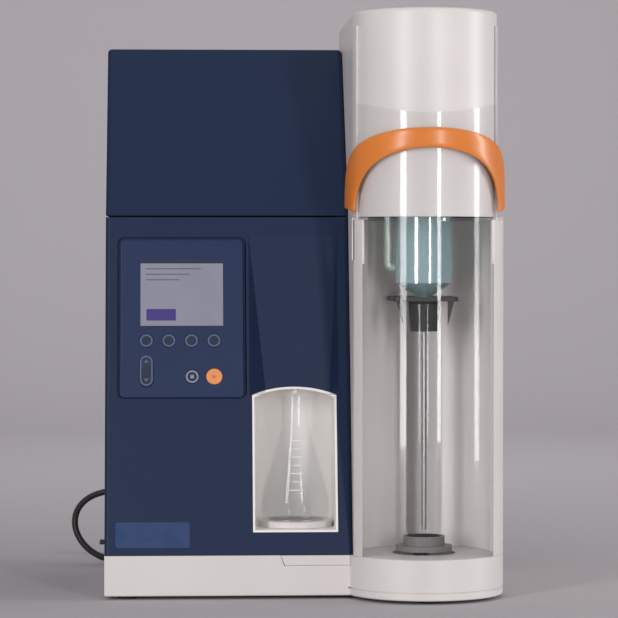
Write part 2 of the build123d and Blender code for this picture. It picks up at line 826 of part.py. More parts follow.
# Curved back wall of the chamber, slotted for the lift arm
chamber_out_r = chamber_r + chamber_wall
chamber_low = base_top + seat_gap
chamber_top = housing_top - deck_t - seat_gap
with BuildPart() as chamber_back:
    with BuildSketch(Plane.XY.offset(chamber_low)):
        with Locations((tower_x, tower_y)):
            Circle(chamber_out_r)
            Circle(chamber_r, mode=Mode.SUBTRACT)
        with Locations((tower_x, tower_y - housing_r)):
            Rectangle(4 * housing_r, 2 * housing_r, mode=Mode.SUBTRACT)
        flange_out = housing_in_r - seat_gap
        with Locations((tower_x + (chamber_r + 1 + flange_out) / 2, tower_y + chamber_wall / 2)):
            Rectangle(flange_out - chamber_r - 1, chamber_wall)
    extrude(amount=chamber_top - chamber_low)
    with BuildSketch(Plane.XZ.offset(-tower_y)):
        slot_top = tube_bottom + 3
        with Locations((tower_x, (slot_top + chamber_low) / 2)):
            Rectangle(lift_arm_width + 2 * slide_clear, slot_top - chamber_low)
    extrude(amount=-2 * chamber_r, mode=Mode.SUBTRACT)
write(chamber_back.part, "chamber_back")

# Tower sleeve: half round in front, square behind, closed on top
sleeve_low = housing_top + seat_gap
with BuildPart() as tower_sleeve:
    with BuildSketch(Plane.XY.offset(sleeve_low)):
        housing_plan(sleeve_r, tower_x - 2 * sleeve_r, rear_y)
    extrude(amount=sleeve_top - sleeve_low)
    fillet(tower_sleeve.edges().filter_by(Axis.Z).group_by(Axis.Y)[-1], sleeve_edge_r)
    fillet(tower_sleeve.faces().sort_by(Axis.Z)[-1].edges(), sleeve_edge_r)
    with BuildSketch(Plane.XY.offset(sleeve_low)):
        housing_plan(sleeve_r - sleeve_wall, tower_x - 2 * sleeve_r, rear_y - sleeve_wall)
    extrude(amount=sleeve_top - sleeve_low - sleeve_wall, mode=Mode.SUBTRACT)
write(tower_sleeve.part, "tower_sleeve")


def sector(in_r, out_r, angle_low, angle_high):
    """Ring sector round the tower axis; angles run from the front, to the right."""
    wedge = []
    for angle in (angle_low, (angle_low + angle_high) / 2, angle_high):
        turn = math.radians(angle)
        wedge.append((math.sin(turn), -math.cos(turn)))
    ends = [(tower_x + r * x, tower_y + r * y) for r in (in_r, out_r) for x, y in wedge]
    ThreePointArc(ends[0], ends[1], ends[2])
    Line(ends[2], ends[5])
    ThreePointArc(ends[5], ends[4], ends[3])
    Line(ends[3], ends[0])


# Guide rails for the two upright edges of the shield
rail_low = base_top + seat_gap
for side_name, side in (("left", -1), ("right", 1)):
    with BuildPart() as rail:
        with BuildSketch(Plane.XY.offset(rail_low)):
            with BuildLine():
                near = side * (shield_half_angle + rail_gap_angle)
                far = side * (shield_half_angle + rail_gap_angle + rail_angle)
                sector(sleeve_r + seat_gap, shield_out_r, near, far)
            make_face()
        extrude(amount=rail_top - rail_low)
    write(rail.part, f"guide_rail_{side_name}")

# Clear half round shield, its top edge dipped in the middle
with BuildPart() as safety_shield:
    with BuildSketch(Plane.XY.offset(shield_bottom)):
        with BuildLine():
            sector(shield_in_r, shield_out_r, -shield_half_angle, shield_half_angle)
        make_face()
    extrude(amount=shield_top - shield_bottom)
    with BuildSketch(Plane.XZ.offset(-tower_y)):
        with BuildLine():
            edge = sleeve_r * math.sin(math.radians(shield_half_angle))
            ThreePointArc((tower_x - edge, shield_top), (tower_x, shield_top - shield_dip),
                          (tower_x + edge, shield_top))
            Line((tower_x + edge, shield_top), (tower_x - edge, shield_top))
        make_face()
    extrude(amount=2 * shield_out_r, mode=Mode.SUBTRACT)
    # Holes for the two handle bolts
    bolt_angle = shield_half_angle - 7
    bolt_z = handle_low + 10
    bolt_r = 2.5
    for side in (-1, 1):
        turn = math.radians(side * bolt_angle)
        out_dir = Vector(math.sin(turn), -math.cos(turn), 0)
        with BuildSketch(Plane(Vector(tower_x, tower_y, bolt_z), z_dir=out_dir)):
            Circle(bolt_r + seat_gap)
        extrude(amount=2 * shield_out_r, mode=Mode.SUBTRACT)
write(safety_shield.part, "safety_shield")


def arch_point(angle, drop):
    """Front view point of the handle edge, dropped below the top line."""
    share = max(math.cos(math.radians(angle)), 0) ** handle_power
    width = handle_tip + (handle_width - handle_tip) * share ** 0.5
    height = handle_low + handle_tip + handle_rise * share * 1.0
    return (tower_x + handle_out_r * math.sin(math.radians(angle)), height - drop * width)


# Handle: a band round the sleeve, arched in the front view
arch_angles = (-84, -70, -52, -27, 0, 27, 52, 70, 84)
with BuildPart() as lift_handle:
    with BuildSketch(Plane.XY.offset(handle_low - 2 * handle_width)):
        with BuildLine():
            sector(handle_in_r, handle_out_r, -90, 90)
        make_face()
    extrude(amount=3 * handle_rise)
    with BuildSketch(Plane.XZ.offset(-tower_y)) as arch:
        with BuildLine():
            out = tower_x + handle_out_r + 1
            inn = tower_x - handle_out_r - 1
            Line((inn, handle_low - 6), (inn, handle_low + handle_tip + 4))
            Spline((inn, handle_low + handle_tip + 4), *[arch_point(a, 0) for a in arch_angles],
                   (out, handle_low + handle_tip + 4))
            Line((out, handle_low + handle_tip + 4), (out, handle_low - 6))
            Spline((out, handle_low - 6), *[arch_point(-a, 1) for a in arch_angles],
                   (inn, handle_low - 6))
        make_face()
    extrude(amount=2 * handle_out_r, mode=Mode.INTERSECT)
write(lift_handle.part, "lift_handle")

# Bolts that hold the handle ends to the shield
for side_name, side in (("left", -1), ("right", 1)):
    with BuildPart() as bolt:
        turn = math.radians(side * bolt_angle)
        out_dir = Vector(math.sin(turn), -math.cos(turn), 0)
        start = Vector(tower_x, tower_y, bolt_z) + out_dir * (shield_in_r + seat_gap)
        with BuildSketch(Plane(start, z_dir=out_dir)):
            Circle(bolt_r)
        extrude(amount=handle_in_r - shield_in_r - 2 * seat_gap)
    write(bolt.part, f"handle_bolt_{side_name}")

# Glass digestion tube with a round bottom and a rolled rim
tube_axis = Axis((tower_x, tower_y, 0), (0, 0, 1))
with BuildPart() as digestion_tube:
    with BuildSketch(Plane.XZ.offset(-tower_y)):
        with BuildLine():
            bend = tube_r * math.sin(math.radians(45))
            inner = tube_r - tube_wall
            inner_bend = inner * math.sin(math.radians(45))
            centre_z = tube_bottom + tube_r
            Line((tower_x, tube_bottom + tube_wall), (tower_x, tube_bottom))
            ThreePointArc((tower_x, tube_bottom), (tower_x + bend, centre_z - bend),
                          (tower_x + tube_r, centre_z))
            Polyline((tower_x + tube_r, centre_z), (tower_x + tube_r, tube_top - 3),
                     (tower_x + tube_rim_r, tube_top - 3), (tower_x + tube_rim_r, tube_top),
                     (tower_x + inner, tube_top), (tower_x + inner, centre_z))
            ThreePointArc((tower_x + inner, centre_z), (tower_x + inner_bend, centre_z - inner_bend),
                          (tower_x, tube_bottom + tube_wall))
        make_face()
    revolve(axis=tube_axis)
write(digestion_tube.part, "digestion_tube")

# Lift plate with a cup for the tube, an arm and a block that runs on the rod
plate_low = tube_bottom - seat_gap - lift_plate_t
with BuildPart() as tube_platform:
    with BuildSketch(Plane.XY.offset(plate_low)):
        with Locations((tower_x, tower_y)):
            Circle(lift_plate_r)
        with Locations((tower_x, tower_y + lift_reach / 2)):
            Rectangle(lift_arm_width, lift_reach)
    extrude(amount=lift_plate_t)
    with BuildSketch(Plane.XY.offset(plate_low)):
        with Locations((tower_x, tower_y)):
            Circle(tube_r + seat_gap + 3)
            Circle(tube_r + seat_gap, mode=Mode.SUBTRACT)
    extrude(amount=lift_plate_t + lift_cup_height)
    with BuildSketch(Plane.XY.offset(plate_low)):
        with Locations((tower_x, tower_y + lift_reach)):
            Rectangle(lift_arm_width, lift_block)
    extrude(amount=3 * lift_plate_t)
    with BuildSketch(Plane.XY.offset(plate_low - 1)):
        with Locations((tower_x, tower_y + lift_reach)):
            Circle(lift_rod_r + pin_clear)
    extrude(amount=4 * lift_plate_t, mode=Mode.SUBTRACT)
write(tube_platform.part, "tube_platform")

with BuildPart() as lift_rod:
    with BuildSketch(Plane.XY.offset(well_z + seat_gap)):
        with Locations((tower_x, tower_y + lift_reach)):
            Circle(lift_rod_r)
    extrude(amount=chamber_top - well_z - seat_gap)
write(lift_rod.part, "lift_rod")

# Rubber stopper round the neck of the splash head
with BuildPart() as tube_stopper:
    with BuildSketch(Plane.XZ.offset(-tower_y)):
        with BuildLine():
            bore = splash_neck_r + seat_gap
            Polyline((tower_x + bore, stopper_bottom), (tower_x + stopper_low_r, stopper_bottom),
                     (tower_x + stopper_top_r, stopper_top), (tower_x + bore, stopper_top),
                     close=True)
        make_face()
    revolve(axis=tube_axis)
write(tube_stopper.part, "tube_stopper")

# Bracket across the chamber that the stopper and the splash head sit on
bracket_t = 5.0
bracket_width = 76.0
bracket_front = 26.0
bracket_low = stopper_top + seat_gap
bracket_top = bracket_low + bracket_t
gusset_height = 28.0
with BuildPart() as stopper_bracket:
    with BuildSketch(Plane.XY.offset(bracket_low)):
        with Locations((tower_x, tower_y + (chamber_r - bracket_front) / 2)):
            Rectangle(bracket_width, chamber_r + bracket_front)
        with Locations((tower_x, tower_y)):
            Circle(chamber_r - seat_gap, mode=Mode.INTERSECT)
            Circle(splash_neck_r + seat_gap, mode=Mode.SUBTRACT)
    extrude(amount=bracket_t)
    fillet(stopper_bracket.edges().filter_by(Axis.Z).group_by(Axis.Y)[0], 6)
    for side in (-1, 1):
        near = tower_x + side * (tube_rim_r + 3)
        with BuildSketch(Plane.XZ.offset(-tower_y + bracket_front - 9)):
            with BuildLine():
                Polyline((near, bracket_low + 1), (near + side * 8, bracket_low + 1),
                         (near, bracket_low - gusset_height), close=True)
            make_face()
        extrude(amount=3)
write(stopper_bracket.part, "stopper_bracket")

# Glass splash head: neck, cone, body and a flat top with a hole for the steam tube
steam_r = 3.0
steam_low = tube_bottom + 18.0
steam_rise = 24.0
splash_low = bracket_top + seat_gap
splash_top = splash_low + splash_length
with BuildPart() as splash_head:
    with BuildSketch(Plane.XZ.offset(-tower_y)):
        with BuildLine():
            neck = tower_x + splash_neck_r
            neck_in = neck - splash_wall
            body = tower_x + splash_r
            body_in = body - splash_wall
            hole = tower_x + steam_r + seat_gap
            Polyline((neck_in, stopper_bottom + 4), (neck, stopper_bottom + 4),
                     (neck, splash_low), (body, splash_low + splash_cone), (body, splash_top),
                     (hole, splash_top), (hole, splash_top - splash_wall),
                     (body_in, splash_top - splash_wall), (body_in, splash_low + splash_cone + 1),
                     (neck_in, splash_low + 1), close=True)
        make_face()
    revolve(axis=tube_axis)
write(splash_head.part, "splash_head")

with BuildPart() as steam_tube:
    with BuildSketch(Plane.XY.offset(steam_low)):
        with Locations((tower_x, tower_y)):
            Circle(steam_r)
            Circle(steam_r - 1, mode=Mode.SUBTRACT)
    extrude(amount=splash_top + steam_rise - steam_low)
write(steam_tube.part, "steam_tube")

# Alkali hose that runs down beside the splash head and turns into it
hose_r = 4.5
hose_x = tower_x - splash_r - 9.0
hose_low = splash_low + 34.0
hose_high = splash_top - 60.0
with BuildPart() as alkali_hose:
    with BuildLine() as hose_path:
        FilletPolyline((hose_x, tower_y, hose_high), (hose_x, tower_y, hose_low),
                       (tower_x - splash_r - seat_gap, tower_y, hose_low), radius=hose_r + 1.5)
    with BuildSketch(Plane((hose_x, tower_y, hose_high), z_dir=(0, 0, -1))):
        Circle(hose_r)
    sweep()
write(alkali_hose.part, "alkali_hose")

# Inner frame: floor plate, upright wall with lightening holes and condenser rests
frame_t = 2.0
frame_y = 62.0
frame_top = 425.0
frame_left = case_left + case_wall + seat_gap
frame_right = case_right - case_wall - seat_gap
condenser_y = 22.0
condenser_r = 22.0
condenser_low = 262.0
condenser_top = 418.0
with BuildPart() as chassis_frame:
    frame_low = base_top + 2 * seat_gap
    with BuildSketch(Plane.XY.offset(frame_low)):
        floor_front = foot_y + 14
        floor_rear = rear_y - panel_t - inlet_depth
        with Locations(((frame_left + frame_right) / 2, (floor_front + floor_rear) / 2)):
            Rectangle(frame_right - frame_left, floor_rear - floor_front)
    extrude(amount=frame_t)
    with BuildSketch(Plane.XZ.offset(-frame_y)):
        with Locations(((frame_left + frame_right) / 2, (frame_low + frame_top) / 2)):
            Rectangle(frame_right - frame_left, frame_top - frame_low)
        with Locations((frame_left + 90, (frame_low + frame_top) / 2)):
            with GridLocations(80, 120, 2, 2):
                RectangleRounded(46, 70, 8, mode=Mode.SUBTRACT)
    extrude(amount=-frame_t)
    rest_low_y = condenser_y + condenser_r + seat_gap
    for rest_z in (condenser_low + 18, condenser_top - 18):
        with BuildSketch(Plane.XY.offset(rest_z)):
            with Locations((flask_x, (rest_low_y + frame_y) / 2)):
                Rectangle(26, frame_y - rest_low_y)
        extrude(amount=6)
write(chassis_frame.part, "chassis_frame")

floor_z = frame_low + frame_t + seat_gap
generator_r = 46.0
generator_height = 210.0
generator_x = case_left + 78.0
generator_y = frame_y + frame_t + generator_r + seat_gap
with BuildPart() as steam_generator:
    with BuildSketch(Plane.XY.offset(floor_z)):
        with Locations((generator_x, generator_y - 8)):
            Circle(generator_r - 8)
    extrude(amount=generator_height)
    fillet(steam_generator.faces().sort_by(Axis.Z)[-1].edges(), 8)
    with BuildSketch(Plane.XY.offset(floor_z + generator_height)):
        with Locations((generator_x, generator_y - 8)):
            Circle(8)
    extrude(amount=14)
write(steam_generator.part, "steam_generator")

pump_x = case_left + 215.0
pump_r = 22.0
pump_height = 62.0
with BuildPart() as alkali_pump:
    with BuildSketch(Plane.XY.offset(floor_z)):
        with Locations((pump_x, frame_y + frame_t + seat_gap + pump_r)):
            Rectangle(2 * pump_r, 2 * pump_r)
    extrude(amount=12)
    with BuildSketch(Plane.XY.offset(floor_z + 12)):
        with Locations((pump_x, frame_y + frame_t + seat_gap + pump_r)):
            Circle(pump_r - 1)
    extrude(amount=pump_height)
write(alkali_pump.part, "alkali_pump")

with BuildPart() as condenser:
    with BuildSketch(Plane.XY.offset(condenser_low)):
        with Locations((flask_x, condenser_y)):
            Circle(condenser_r)
    extrude(amount=condenser_top - condenser_low)
    chamfer(condenser.faces().sort_by(Axis.Z)[-1].edges(), 6)
    chamfer(condenser.faces().sort_by(Axis.Z)[0].edges(), 6)
write(condenser.part, "condenser")

# Bent outlet tube from the condenser to just above the flask
outlet_bend_z = bay_side_top + bay_arch + 9.0
outlet_low = stand_top + flask_height + 3.5
with BuildPart() as condenser_outlet:
    with BuildLine():
        FilletPolyline((flask_x, condenser_y, condenser_low - seat_gap),
                       (flask_x, condenser_y, outlet_bend_z), (flask_x, outlet_y, outlet_bend_z),
                       (flask_x, outlet_y, outlet_low), radius=outlet_r + 1)
    with BuildSketch(Plane((flask_x, condenser_y, condenser_low - seat_gap), z_dir=(0, 0, -1))):
        Circle(outlet_r)
    sweep()
write(condenser_outlet.part, "condenser_outlet")

# Mains lead: connector in the inlet, lead to the table, coil, tail and plug
cord_r = 4.0
relief_length = 18.0
relief_r = 6.0
connector_length = 22.0
connector_y = rear_y - 9.0
relief_y = rear_y + 2.0 + connector_length
lead_start = Vector(socket_x, relief_y + relief_length, inlet_z)
with BuildPart() as mains_connector:
    with BuildSketch(Plane.XZ.offset(-connector_y)):
        with Locations((socket_x, inlet_z)):
            Rectangle(socket_width - 2 * seat_gap, socket_height - 2 * seat_gap)
    extrude(amount=-(relief_y - connector_y))
    fillet(mains_connector.faces().sort_by(Axis.Y)[-1].edges(), 2.5)
    with BuildSketch(Plane.XZ.offset(-relief_y)):
        with Locations((socket_x, inlet_z)):
            Circle(relief_r)
    extrude(amount=-relief_length, taper=3)
    with BuildSketch(Plane.XZ.offset(-connector_y)):
        with Locations((socket_x, inlet_z - 2), (socket_x - 7, inlet_z + 3), (socket_x + 7, inlet_z + 3)):
            Rectangle(2 + 2 * seat_gap, 4 + 2 * seat_gap)
    extrude(amount=-9, mode=Mode.SUBTRACT)
write(mains_connector.part, "mains_connector")

cord_low = cord_r + seat_gap
coil_x = -95.0
coil_y = 330.0
coil_r = 47.0
coil_turns = 4.5
coil_out_r = coil_r + 2 * cord_r
beside_coil = coil_out_r + cord_r + seat_gap
lead_points = [
    lead_start,
    (socket_x, 236, inlet_z),
    (-217.8, 257.7, 95.5),
    (-239.5, 269, 94),
    (-264.5, 268, 86),
    (-280, 262, 69),
    (-281.5, 256, 46),
    (-269, 252, 24),
    (-247, 251, 9),
    (-222, 255, cord_low),
    (-196, 262, cord_low),
    (-169, 268, cord_low),
    (-142, coil_y - beside_coil - 1.5, cord_low),
    (-117, coil_y - beside_coil, cord_low),
    (coil_x, coil_y - beside_coil - 0.2, cord_low),
]
plug_r = 16.0
plug_z = plug_r + seat_gap
tail_points = [
    (coil_x, coil_y + beside_coil, cord_low),
    (coil_x - 22, coil_y + beside_coil + 0.4, cord_low),
    (coil_x - 43, coil_y + beside_coil - 2.5, cord_low + 5),
    (coil_x - 65, coil_y + beside_coil - 8, plug_z),
    (coil_x - 86, coil_y + beside_coil - 8, plug_z),
]


def cord_tube(points, label):
    """Round cord along the points, with each corner as large as its runs allow."""
    route = [Vector(*p) if isinstance(p, tuple) else p for p in points]
    radii = []
    for before, here, after in zip(route, route[1:], route[2:]):
        turn = (here - before).get_angle(after - here)
        shorter = min((here - before).length, (after - here).length)
        radii.append(0.45 * shorter / math.tan(math.radians(turn) / 2))
    with BuildPart() as tube:
        with BuildLine() as line:
            FilletPolyline(*route, radius=radii)
        with BuildSketch(Plane(route[0], z_dir=route[1] - route[0])) as section:
            Circle(cord_r)
        path = line.wires()[0]
        sweep(section.sketch, path=path)
    length = path.length
    error = tube.part.volume / (math.pi * cord_r ** 2 * length) - 1
    print(label, "radii", [round(r, 1) for r in radii], "length", round(length, 1),
          "volume error", round(error, 5))
    write(tube.part, label)
    return length


lead_length = cord_tube(lead_points, "mains_lead")
tail_length = cord_tube(tail_points, "mains_lead_tail")
coil_length = 2 * math.pi * coil_r * coil_turns
print("cord length", round(lead_length + coil_length + tail_length))

with BuildPart() as mains_lead_coil:
    with BuildSketch(Plane.XY.offset(seat_gap)):
        with Locations((coil_x, coil_y)):
            Circle(coil_out_r)
            Circle(coil_r - 2 * cord_r, mode=Mode.SUBTRACT)
    extrude(amount=4 * cord_r)
    fillet(mains_lead_coil.edges().filter_by(GeomType.CIRCLE), 3.5)
write(mains_lead_coil.part, "mains_lead_coil")

plug_start = Vector(*tail_points[-1])
plug_length = 34.0
with BuildPart() as mains_plug:
    with BuildSketch(Plane(plug_start, z_dir=(-1, 0, 0))):
        Circle(relief_r)
    extrude(amount=relief_length)
    with BuildSketch(Plane(plug_start - Vector(relief_length, 0, 0), z_dir=(-1, 0, 0))):
        Circle(plug_r)
    extrude(amount=plug_length)
    fillet(mains_plug.edges().filter_by(GeomType.CIRCLE).group_by(Axis.X)[1], 4)
    with BuildSketch(Plane(plug_start - Vector(relief_length + plug_length, 0, 0), z_dir=(-1, 0, 0))):
        with Locations((0, 9.5), (0, -9.5)):
            Circle(2.4)
    extrude(amount=19)
write(mains_plug.part, "mains_plug")
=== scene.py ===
"""Dresses a bench-top Kjeldahl distillation unit: finishes, panel inlays, glassware, mains lead and stage.

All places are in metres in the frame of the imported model: X to the right, Y to the rear, Z up.
"""

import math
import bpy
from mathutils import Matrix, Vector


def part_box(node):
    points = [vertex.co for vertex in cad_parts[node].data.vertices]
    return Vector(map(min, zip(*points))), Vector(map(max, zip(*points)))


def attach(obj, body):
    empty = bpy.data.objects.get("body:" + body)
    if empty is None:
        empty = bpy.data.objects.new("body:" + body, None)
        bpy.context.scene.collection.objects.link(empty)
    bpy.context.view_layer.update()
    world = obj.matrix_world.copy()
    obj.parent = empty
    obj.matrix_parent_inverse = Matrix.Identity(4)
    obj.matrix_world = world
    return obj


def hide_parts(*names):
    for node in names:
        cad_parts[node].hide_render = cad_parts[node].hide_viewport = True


bl_info = {
    "name": "Kjeldahl distillation unit",
    "version": (1, 0, 0),
    "blender": (4, 5, 0),
    "location": "View3D > Sidebar > Distillation unit",
    "description": "Finishes, small pieces and studio stage of a bench-top distillation unit",
    "category": "Object",
}

import bpy
from mathutils import Matrix, Vector

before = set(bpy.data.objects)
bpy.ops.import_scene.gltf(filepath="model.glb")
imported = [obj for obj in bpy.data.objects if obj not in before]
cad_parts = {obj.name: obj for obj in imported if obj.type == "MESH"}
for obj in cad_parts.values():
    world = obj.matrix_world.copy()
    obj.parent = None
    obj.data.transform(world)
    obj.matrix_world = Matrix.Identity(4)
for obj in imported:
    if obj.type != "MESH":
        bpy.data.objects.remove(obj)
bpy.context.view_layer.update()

# Camera read from the photograph: level eye, long lens, frame centre right of and below the eye line
PHOTO_SIZE = 618
PHOTO_FOCAL_PX = 2880.0
EYE_PX = (175.0, 250.0)
EYE = Vector((-0.15175, -3.456, 0.405))
SENSOR_WIDTH = 36.0

# Leaning front of the case: its foot and its seam, as (y, z)
FACE_FOOT = (-0.126, 0.051)
FACE_SEAM = (-0.030, 0.444)
FACE_LEAN = math.atan2(FACE_SEAM[0] - FACE_FOOT[0], FACE_SEAM[1] - FACE_FOOT[1])
FACE_TURN = math.pi / 2 - FACE_LEAN
FACE_NORMAL = Vector((0, -math.cos(FACE_LEAN), math.sin(FACE_LEAN)))
PANEL_PROUD = 0.0025
KEY_PROUD = 0.0033


def middle(node):
    """Centre of a node's box at rest."""
    low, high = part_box(node)
    return (Vector(low) + Vector(high)) / 2


def panel_point(x, z, lift=0.0):
    """Point on the leaning front at width x and height z, raised along its normal."""
    share = (z - FACE_FOOT[1]) / (FACE_SEAM[1] - FACE_FOOT[1])
    y = FACE_FOOT[0] + share * (FACE_SEAM[0] - FACE_FOOT[0])
    return Vector((x, y, z)) + FACE_NORMAL * lift


def hex_colour(code):
    """Linear RGB of an sRGB hex code."""
    values = [int(code[i:i + 2], 16) / 255 for i in (1, 3, 5)]
    return tuple(v / 12.92 if v <= 0.04045 else ((v + 0.055) / 1.055) ** 2.4 for v in values)


def rgba(colour):
    return (*colour[:3], 1.0)


def add_node(tree, kind, settings=None, inputs=None, links=None):
    """Adds one node, sets its properties and sockets, and links sockets from other nodes."""
    node = tree.nodes.new(kind)
    for name, value in (settings or {}).items():
        setattr(node, name, value)
    for name, value in (inputs or {}).items():
        node.inputs[name].default_value = value
    for name, source in (links or {}).items():
        tree.links.new(source, node.inputs[name])
    return node


def new_material(name):
    """An empty node material with its Principled shader, and Object coordinates in metres."""
    material = bpy.data.materials.new(name)
    material.use_nodes = True
    tree = material.node_tree
    tree.nodes.clear()
    shader = add_node(tree, "ShaderNodeBsdfPrincipled")
    add_node(tree, "ShaderNodeOutputMaterial", links={"Surface": shader.outputs["BSDF"]})
    place = add_node(tree, "ShaderNodeTexCoord").outputs["Object"]
    return material, tree, shader, place


def set_shader(shader, **values):
    """Sets the Principled sockets that hold one value all over."""
    for name, value in values.items():
        shader.inputs[name.replace("_", " ")].default_value = value


def speckle(tree, place, scale, low, high, detail=2.0):
    """Noise of that scale per metre, mapped between two values."""
    noise = add_node(tree, "ShaderNodeTexNoise", inputs={"Scale": scale, "Detail": detail},
                     links={"Vector": place})
    return add_node(tree, "ShaderNodeMapRange",
                    inputs={"From Min": 0.3, "From Max": 0.7, "To Min": low, "To Max": high},
                    links={"Value": noise.outputs["Fac"]}).outputs["Result"]


def bumped(tree, shader, height, strength, distance):
    bump = add_node(tree, "ShaderNodeBump", inputs={"Strength": strength, "Distance": distance},
                    links={"Height": height})
    tree.links.new(bump.outputs["Normal"], shader.inputs["Normal"])


def mixed(tree, factor, first, second):
    """Colour between two colours by a factor socket."""
    mix = add_node(tree, "ShaderNodeMix", {"data_type": "RGBA"})
    tree.links.new(factor, mix.inputs["Factor"])
    mix.inputs[6].default_value = rgba(first)
    mix.inputs[7].default_value = rgba(second)
    return mix.outputs[2]


def shaded(colour, share):
    return tuple(c * share for c in colour[:3])


def moulded_abs(name, colour, roughness=0.42, grain=1800.0, specular=0.5):
    """ABS from a spark-eroded mould: satin, with a fine even grain and almost no colour change."""
    material, tree, shader, place = new_material(name)
    set_shader(shader, Roughness=roughness, IOR=1.54, Specular_IOR_Level=specular)
    cloud = speckle(tree, place, 9.0, 0.0, 1.0)
    tree.links.new(mixed(tree, cloud, colour, shaded(colour, 0.95)), shader.inputs["Base Color"])
    # Mould grain is about 0.3 mm; drawn at 0.55 mm so that it shows
    bumped(tree, shader, speckle(tree, place, grain, 0.0, 1.0, 1.0), 0.12, 0.0002)
    return material


def gloss_lacquer(name, colour, roughness=0.3):
    """Smooth moulded plastic with a soft gloss, as on a handle or a key."""
    material, tree, shader, place = new_material(name)
    set_shader(shader, IOR=1.5, Coat_Weight=0.25, Coat_Roughness=0.18)
    cloud = speckle(tree, place, 14.0, 0.0, 1.0)
    tree.links.new(mixed(tree, cloud, colour, shaded(colour, 0.93)), shader.inputs["Base Color"])
    tree.links.new(speckle(tree, place, 60.0, roughness, roughness + 0.08),
                   shader.inputs["Roughness"])
    bumped(tree, shader, speckle(tree, place, 700.0, 0.0, 1.0, 1.0), 0.05, 0.0002)
    return material


def clear_sheet(name, colour, roughness, alpha):
    """Clear polycarbonate sheet: nearly invisible face on, with bright streaks of the lights."""
    material, _, shader, _ = new_material(name)
    set_shader(shader, IOR=1.58, Roughness=roughness, Base_Color=rgba(colour), Alpha=alpha)
    # A stronger coat stands for the two faces of the sheet and its inner reflections
    set_shader(shader, Coat_Weight=1.0, Coat_Roughness=0.03, Coat_IOR=4.0)
    return material


def laboratory_glass(name, colour, alpha=0.2, roughness=0.02):
    """Borosilicate glass: clear, smooth, with a slight ripple from drawing."""
    material, tree, shader, place = new_material(name)
    set_shader(shader, IOR=1.47, Roughness=roughness, Base_Color=rgba(colour), Alpha=alpha)
    set_shader(shader, Coat_Weight=1.0, Coat_Roughness=0.02, Coat_IOR=3.6)
    bumped(tree, shader, speckle(tree, place, 45.0, 0.0, 1.0, 1.0), 0.03, 0.001)
    return material


def soft_rubber(name, colour, roughness=0.62):
    """Moulded rubber: dark, dull, with a faint dusty bloom."""
    material, tree, shader, place = new_material(name)
    set_shader(shader, IOR=1.52)
    bloom = speckle(tree, place, 120.0, 0.0, 1.0, 4.0)
    tree.links.new(mixed(tree, bloom, colour, shaded(colour, 1.9)), shader.inputs["Base Color"])
    tree.links.new(speckle(tree, place, 200.0, roughness, roughness + 0.15),
                   shader.inputs["Roughness"])
    bumped(tree, shader, speckle(tree, place, 900.0, 0.0, 1.0), 0.15, 0.0002)
    return material


def brushed_steel(name, colour, stretch=(40.0, 40.0, 1200.0)):
    """Stainless steel sheet brushed level: fine parallel scratches about 0.8 mm apart."""
    material, tree, shader, place = new_material(name)
    set_shader(shader, Metallic=1.0)
    grain = add_node(tree, "ShaderNodeMapping", inputs={"Scale": stretch},
                     links={"Vector": place}).outputs["Vector"]
    lines = speckle(tree, grain, 1.0, 0.0, 1.0, 3.0)
    tree.links.new(mixed(tree, lines, colour, shaded(colour, 0.82)), shader.inputs["Base Color"])
    tree.links.new(speckle(tree, grain, 1.0, 0.28, 0.42, 3.0), shader.inputs["Roughness"])
    bumped(tree, shader, lines, 0.05, 0.0002)
    return material


def display_glass(name, colour):
    """Display behind a matt film: an even pale grey face."""
    material, tree, shader, place = new_material(name)
    set_shader(shader, Roughness=0.35, IOR=1.5)
    haze = speckle(tree, place, 30.0, 0.0, 1.0)
    tone = mixed(tree, haze, colour, shaded(colour, 0.94))
    tree.links.new(tone, shader.inputs["Base Color"])
    return material


def printed_ink(name, colour, roughness=0.5):
    """Screen-printed ink on plastic: flat colour with slightly uneven cover."""
    material, tree, shader, place = new_material(name)
    set_shader(shader, Roughness=roughness, IOR=1.5)
    cover = speckle(tree, place, 400.0, 0.0, 1.0)
    tree.links.new(mixed(tree, cover, colour, shaded(colour, 0.88)), shader.inputs["Base Color"])
    return material


def circuit_laminate(name, colour):
    """Glass fibre laminate under solder resist: lighter tracks round cells of 1.5 by 0.8 mm."""
    material, tree, shader, place = new_material(name)
    set_shader(shader, Roughness=0.4)
    tracks = add_node(tree, "ShaderNodeTexBrick", {"offset": 0.3},
                      inputs={"Scale": 330.0, "Mortar Size": 0.02,
                              "Color1": rgba(colour), "Color2": rgba(shaded(colour, 0.8)),
                              "Mortar": rgba(shaded(colour, 1.6))},
                      links={"Vector": place})
    tree.links.new(tracks.outputs["Color"], shader.inputs["Base Color"])
    return material


